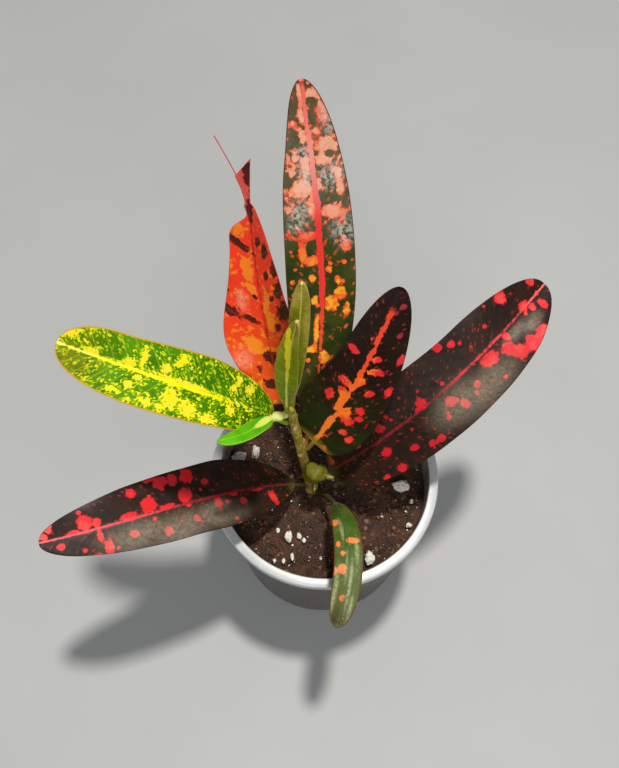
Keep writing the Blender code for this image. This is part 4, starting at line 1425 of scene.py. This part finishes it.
SHOOT_LOOK = Look(
    ground=((0, (70, 70, 8)), (0.6, (102, 100, 14)), (1, (86, 78, 12))), mottle=(58, 56, 8),
    rim=(140, 140, 40), coverage=(-4.0, -4.0), drops=None, speck=(130, 124, 30), speck_spacing=1.6,
    speck_size=0.2, rib=((0, (150, 150, 60)), (1, (160, 160, 70))), rib_width=(0.2, 0.15, 0.1),
    vein=(140, 140, 60), margin=(90, 70, 30), margin_width=0.15, stalk=(110, 108, 40),
    under=(110, 112, 44))
BUD_SIZES = (4.4, 3.8, 3.9)
BUD_CENTRE = (-4.0, -4.6, 88.6)
SHOOT_SEED = 41


def make_shoot(settings):
    """A side shoot: a round bud with one cupped leaflet over it and two short prongs."""
    material = leaf_finish("green_shoot", SHOOT_LOOK, SHOOT_SEED, settings.vein_spacing)
    for number, leaf in enumerate(SHOOT_LEAVES, 1):
        stands_for = ["side_shoot"] if number == 1 else []
        make_leaf(leaf, settings, material, f"shoot_leaflet_{number}", stands_for)
    make_shoot_bud(material)


def make_shoot_bud(material):
    """The round bud that the leaflets open from, on the stem's front."""
    points, faces = ball(4)
    shaped = lumpy(points, 2.5, 0.25, 0.06) * np.array(BUD_SIZES) * MM + np.array(BUD_CENTRE) * MM
    same = np.ones(len(points))
    plan = np.stack([points[:, 0], points[:, 2] * 2, same * 2], 1)
    form = np.stack([same * 0.5, same * 0, same * 2], 1)
    unmarked = same * UNMARKED
    new_piece("shoot_bud", shaped, faces, material, "green_shoot", plan=plan, form=form,
              hot=unmarked, dark=unmarked, pale=unmarked)


# ---------------------------------------------------------------- stage


FLOOR_REACH = 3.0
KEY_PLACE = (0.18, 0.27, 1.8)
KEY_TARGET = (0, 0, 0.08)
KEY_SIZE = 0.15
KEY_COLOUR = (1, 0.96, 0.9)
FILL_PLACE = (0.12, -0.62, 0.7)
FILL_TARGET = (0.05, -0.2, 0)
FILL_SIZE = 0.5
FILL_COLOUR = (1, 0.97, 0.93)
SKY_COLOUR = (0.84, 0.93, 1, 1)
CAMERA_PLACE = (-5.85 * MM, -115.65 * MM, 392.35 * MM)
CAMERA_TILT = math.radians(26.1)


def stage_floor(settings):
    finish = Finish("pale_floor")
    place = finish.place()
    cloud = finish.noise(place, 9, 4, 0.55)
    body = finish.mix(cloud.step(0.3, 0.7) * 0.5, settings.floor[:], paint(168, 170, 170))
    material = finish.surface(Base_Color=body, Roughness=0.6 + cloud * 0.1)
    data = bpy.data.meshes.new("floor")
    corners = ((-1, -1), (1, -1), (1, 1), (-1, 1))
    data.from_pydata([(x * FLOOR_REACH, y * FLOOR_REACH, 0) for x, y in corners], [], [(0, 1, 2, 3)])
    data.materials.append(material)
    floor = bpy.data.objects.new("floor", data)
    bpy.context.scene.collection.objects.link(floor)


def stage_light(name, place, target, size, power, light_colour):
    data = bpy.data.lights.new(name, "AREA")
    data.shape = "DISK"
    data.size = size
    data.energy = power
    data.color = light_colour
    light = bpy.data.objects.new(name, data)
    light.location = place
    light.rotation_euler = (Vector(target) - Vector(place)).to_track_quat("-Z", "Y").to_euler()
    bpy.context.scene.collection.objects.link(light)


def stage_sky(strength):
    world = bpy.data.worlds.new("even_light")
    world.use_nodes = True
    sockets = world.node_tree.nodes["Background"].inputs
    sockets["Color"].default_value = SKY_COLOUR
    sockets["Strength"].default_value = strength
    bpy.context.scene.world = world


def stage_camera(settings):
    data = bpy.data.cameras.new("camera")
    data.sensor_width = 36
    data.lens = settings.lens / MM
    data.clip_start = 0.01
    camera = bpy.data.objects.new("camera", data)
    camera.location = CAMERA_PLACE
    camera.rotation_euler = (CAMERA_TILT, 0, 0)
    bpy.context.scene.collection.objects.link(camera)
    bpy.context.scene.camera = camera


def make_stage(settings):
    stage_floor(settings)
    stage_light("ceiling_light", KEY_PLACE, KEY_TARGET, KEY_SIZE, settings.key_power, KEY_COLOUR)
    stage_light("front_fill", FILL_PLACE, FILL_TARGET, FILL_SIZE, settings.fill_power, FILL_COLOUR)
    stage_sky(settings.sky)
    stage_camera(settings)
    bpy.context.scene.view_settings.view_transform = "Standard"


# ---------------------------------------------------------------- operators and panel


class CROTON_OT_stage(bpy.types.Operator):
    """Lays the floor and sets the lights and the camera"""

    bl_idname = "croton.make_stage"
    bl_label = "Make Stage"

    def execute(self, context):
        make_stage(context.scene.croton_stage)
        return {"FINISHED"}


class CROTON_OT_pot(bpy.types.Operator):
    """Turns the nursery pot and cuts its drain holes"""

    bl_idname = "croton.make_pot"
    bl_label = "Make Pot"

    def execute(self, context):
        make_pot(context.scene.croton_pot)
        return {"FINISHED"}


class CROTON_OT_peat(bpy.types.Operator):
    """Fills the pot with peat, loose crumbs and fibres"""

    bl_idname = "croton.make_peat"
    bl_label = "Make Peat"

    def execute(self, context):
        make_peat(context.scene.croton_peat)
        return {"FINISHED"}


class CROTON_OT_perlite(bpy.types.Operator):
    """Lays the perlite grains and the pale specks on the peat"""

    bl_idname = "croton.make_perlite"
    bl_label = "Make Perlite"

    def execute(self, context):
        make_perlite(context.scene.croton_peat)
        return {"FINISHED"}


class CROTON_OT_stem(bpy.types.Operator):
    """Grows the woody stem with its bark and leaf scars"""

    bl_idname = "croton.make_stem"
    bl_label = "Make Stem"

    def execute(self, context):
        make_stem(context.scene.croton_stem)
        return {"FINISHED"}


class CROTON_OT_shoot(bpy.types.Operator):
    """Grows the side shoot's leaflets and bud"""

    bl_idname = "croton.make_shoot"
    bl_label = "Make Side Shoot"

    def execute(self, context):
        make_shoot(context.scene.croton_leaf)
        return {"FINISHED"}


class CROTON_OT_leaves(bpy.types.Operator):
    """Grows the ten marked leaves"""

    bl_idname = "croton.make_leaves"
    bl_label = "Make Leaves"

    def execute(self, context):
        make_leaves(context.scene.croton_leaf)
        return {"FINISHED"}


class CROTON_PT_panel(bpy.types.Panel):
    """The croton's settings and the buttons that build it"""

    bl_idname = "CROTON_PT_panel"
    bl_label = "Potted Croton"
    bl_space_type = "VIEW_3D"
    bl_region_type = "UI"
    bl_category = "Croton"

    def draw(self, context):
        for operator in OPERATORS:
            self.layout.operator(operator.bl_idname)
        for name in SETTINGS:
            box = self.layout.box()
            group = getattr(context.scene, name)
            for field in group.bl_rna.properties.keys():
                if field not in ("rna_type", "name"):
                    box.prop(group, field)


SETTINGS = {
    "croton_pot": PotSettings,
    "croton_peat": PeatSettings,
    "croton_stem": StemSettings,
    "croton_leaf": LeafSettings,
    "croton_stage": StageSettings,
}
OPERATORS = (CROTON_OT_stage, CROTON_OT_pot, CROTON_OT_peat, CROTON_OT_perlite, CROTON_OT_stem,
             CROTON_OT_shoot, CROTON_OT_leaves)
CLASSES = (*SETTINGS.values(), *OPERATORS, CROTON_PT_panel)


def register():
    for item in CLASSES:
        bpy.utils.register_class(item)
    for name, group in SETTINGS.items():
        setattr(bpy.types.Scene, name, PointerProperty(type=group))


def unregister():
    for name in SETTINGS:
        delattr(bpy.types.Scene, name)
    for item in reversed(CLASSES):
        bpy.utils.unregister_class(item)


def main():
    register()
    bpy.ops.croton.make_stage()
    bpy.ops.croton.make_pot()
    bpy.ops.croton.make_peat()
    bpy.ops.croton.make_perlite()
    bpy.ops.croton.make_stem()
    bpy.ops.croton.make_shoot()
    bpy.ops.croton.make_leaves()


if __name__ == "__main__":
    main()
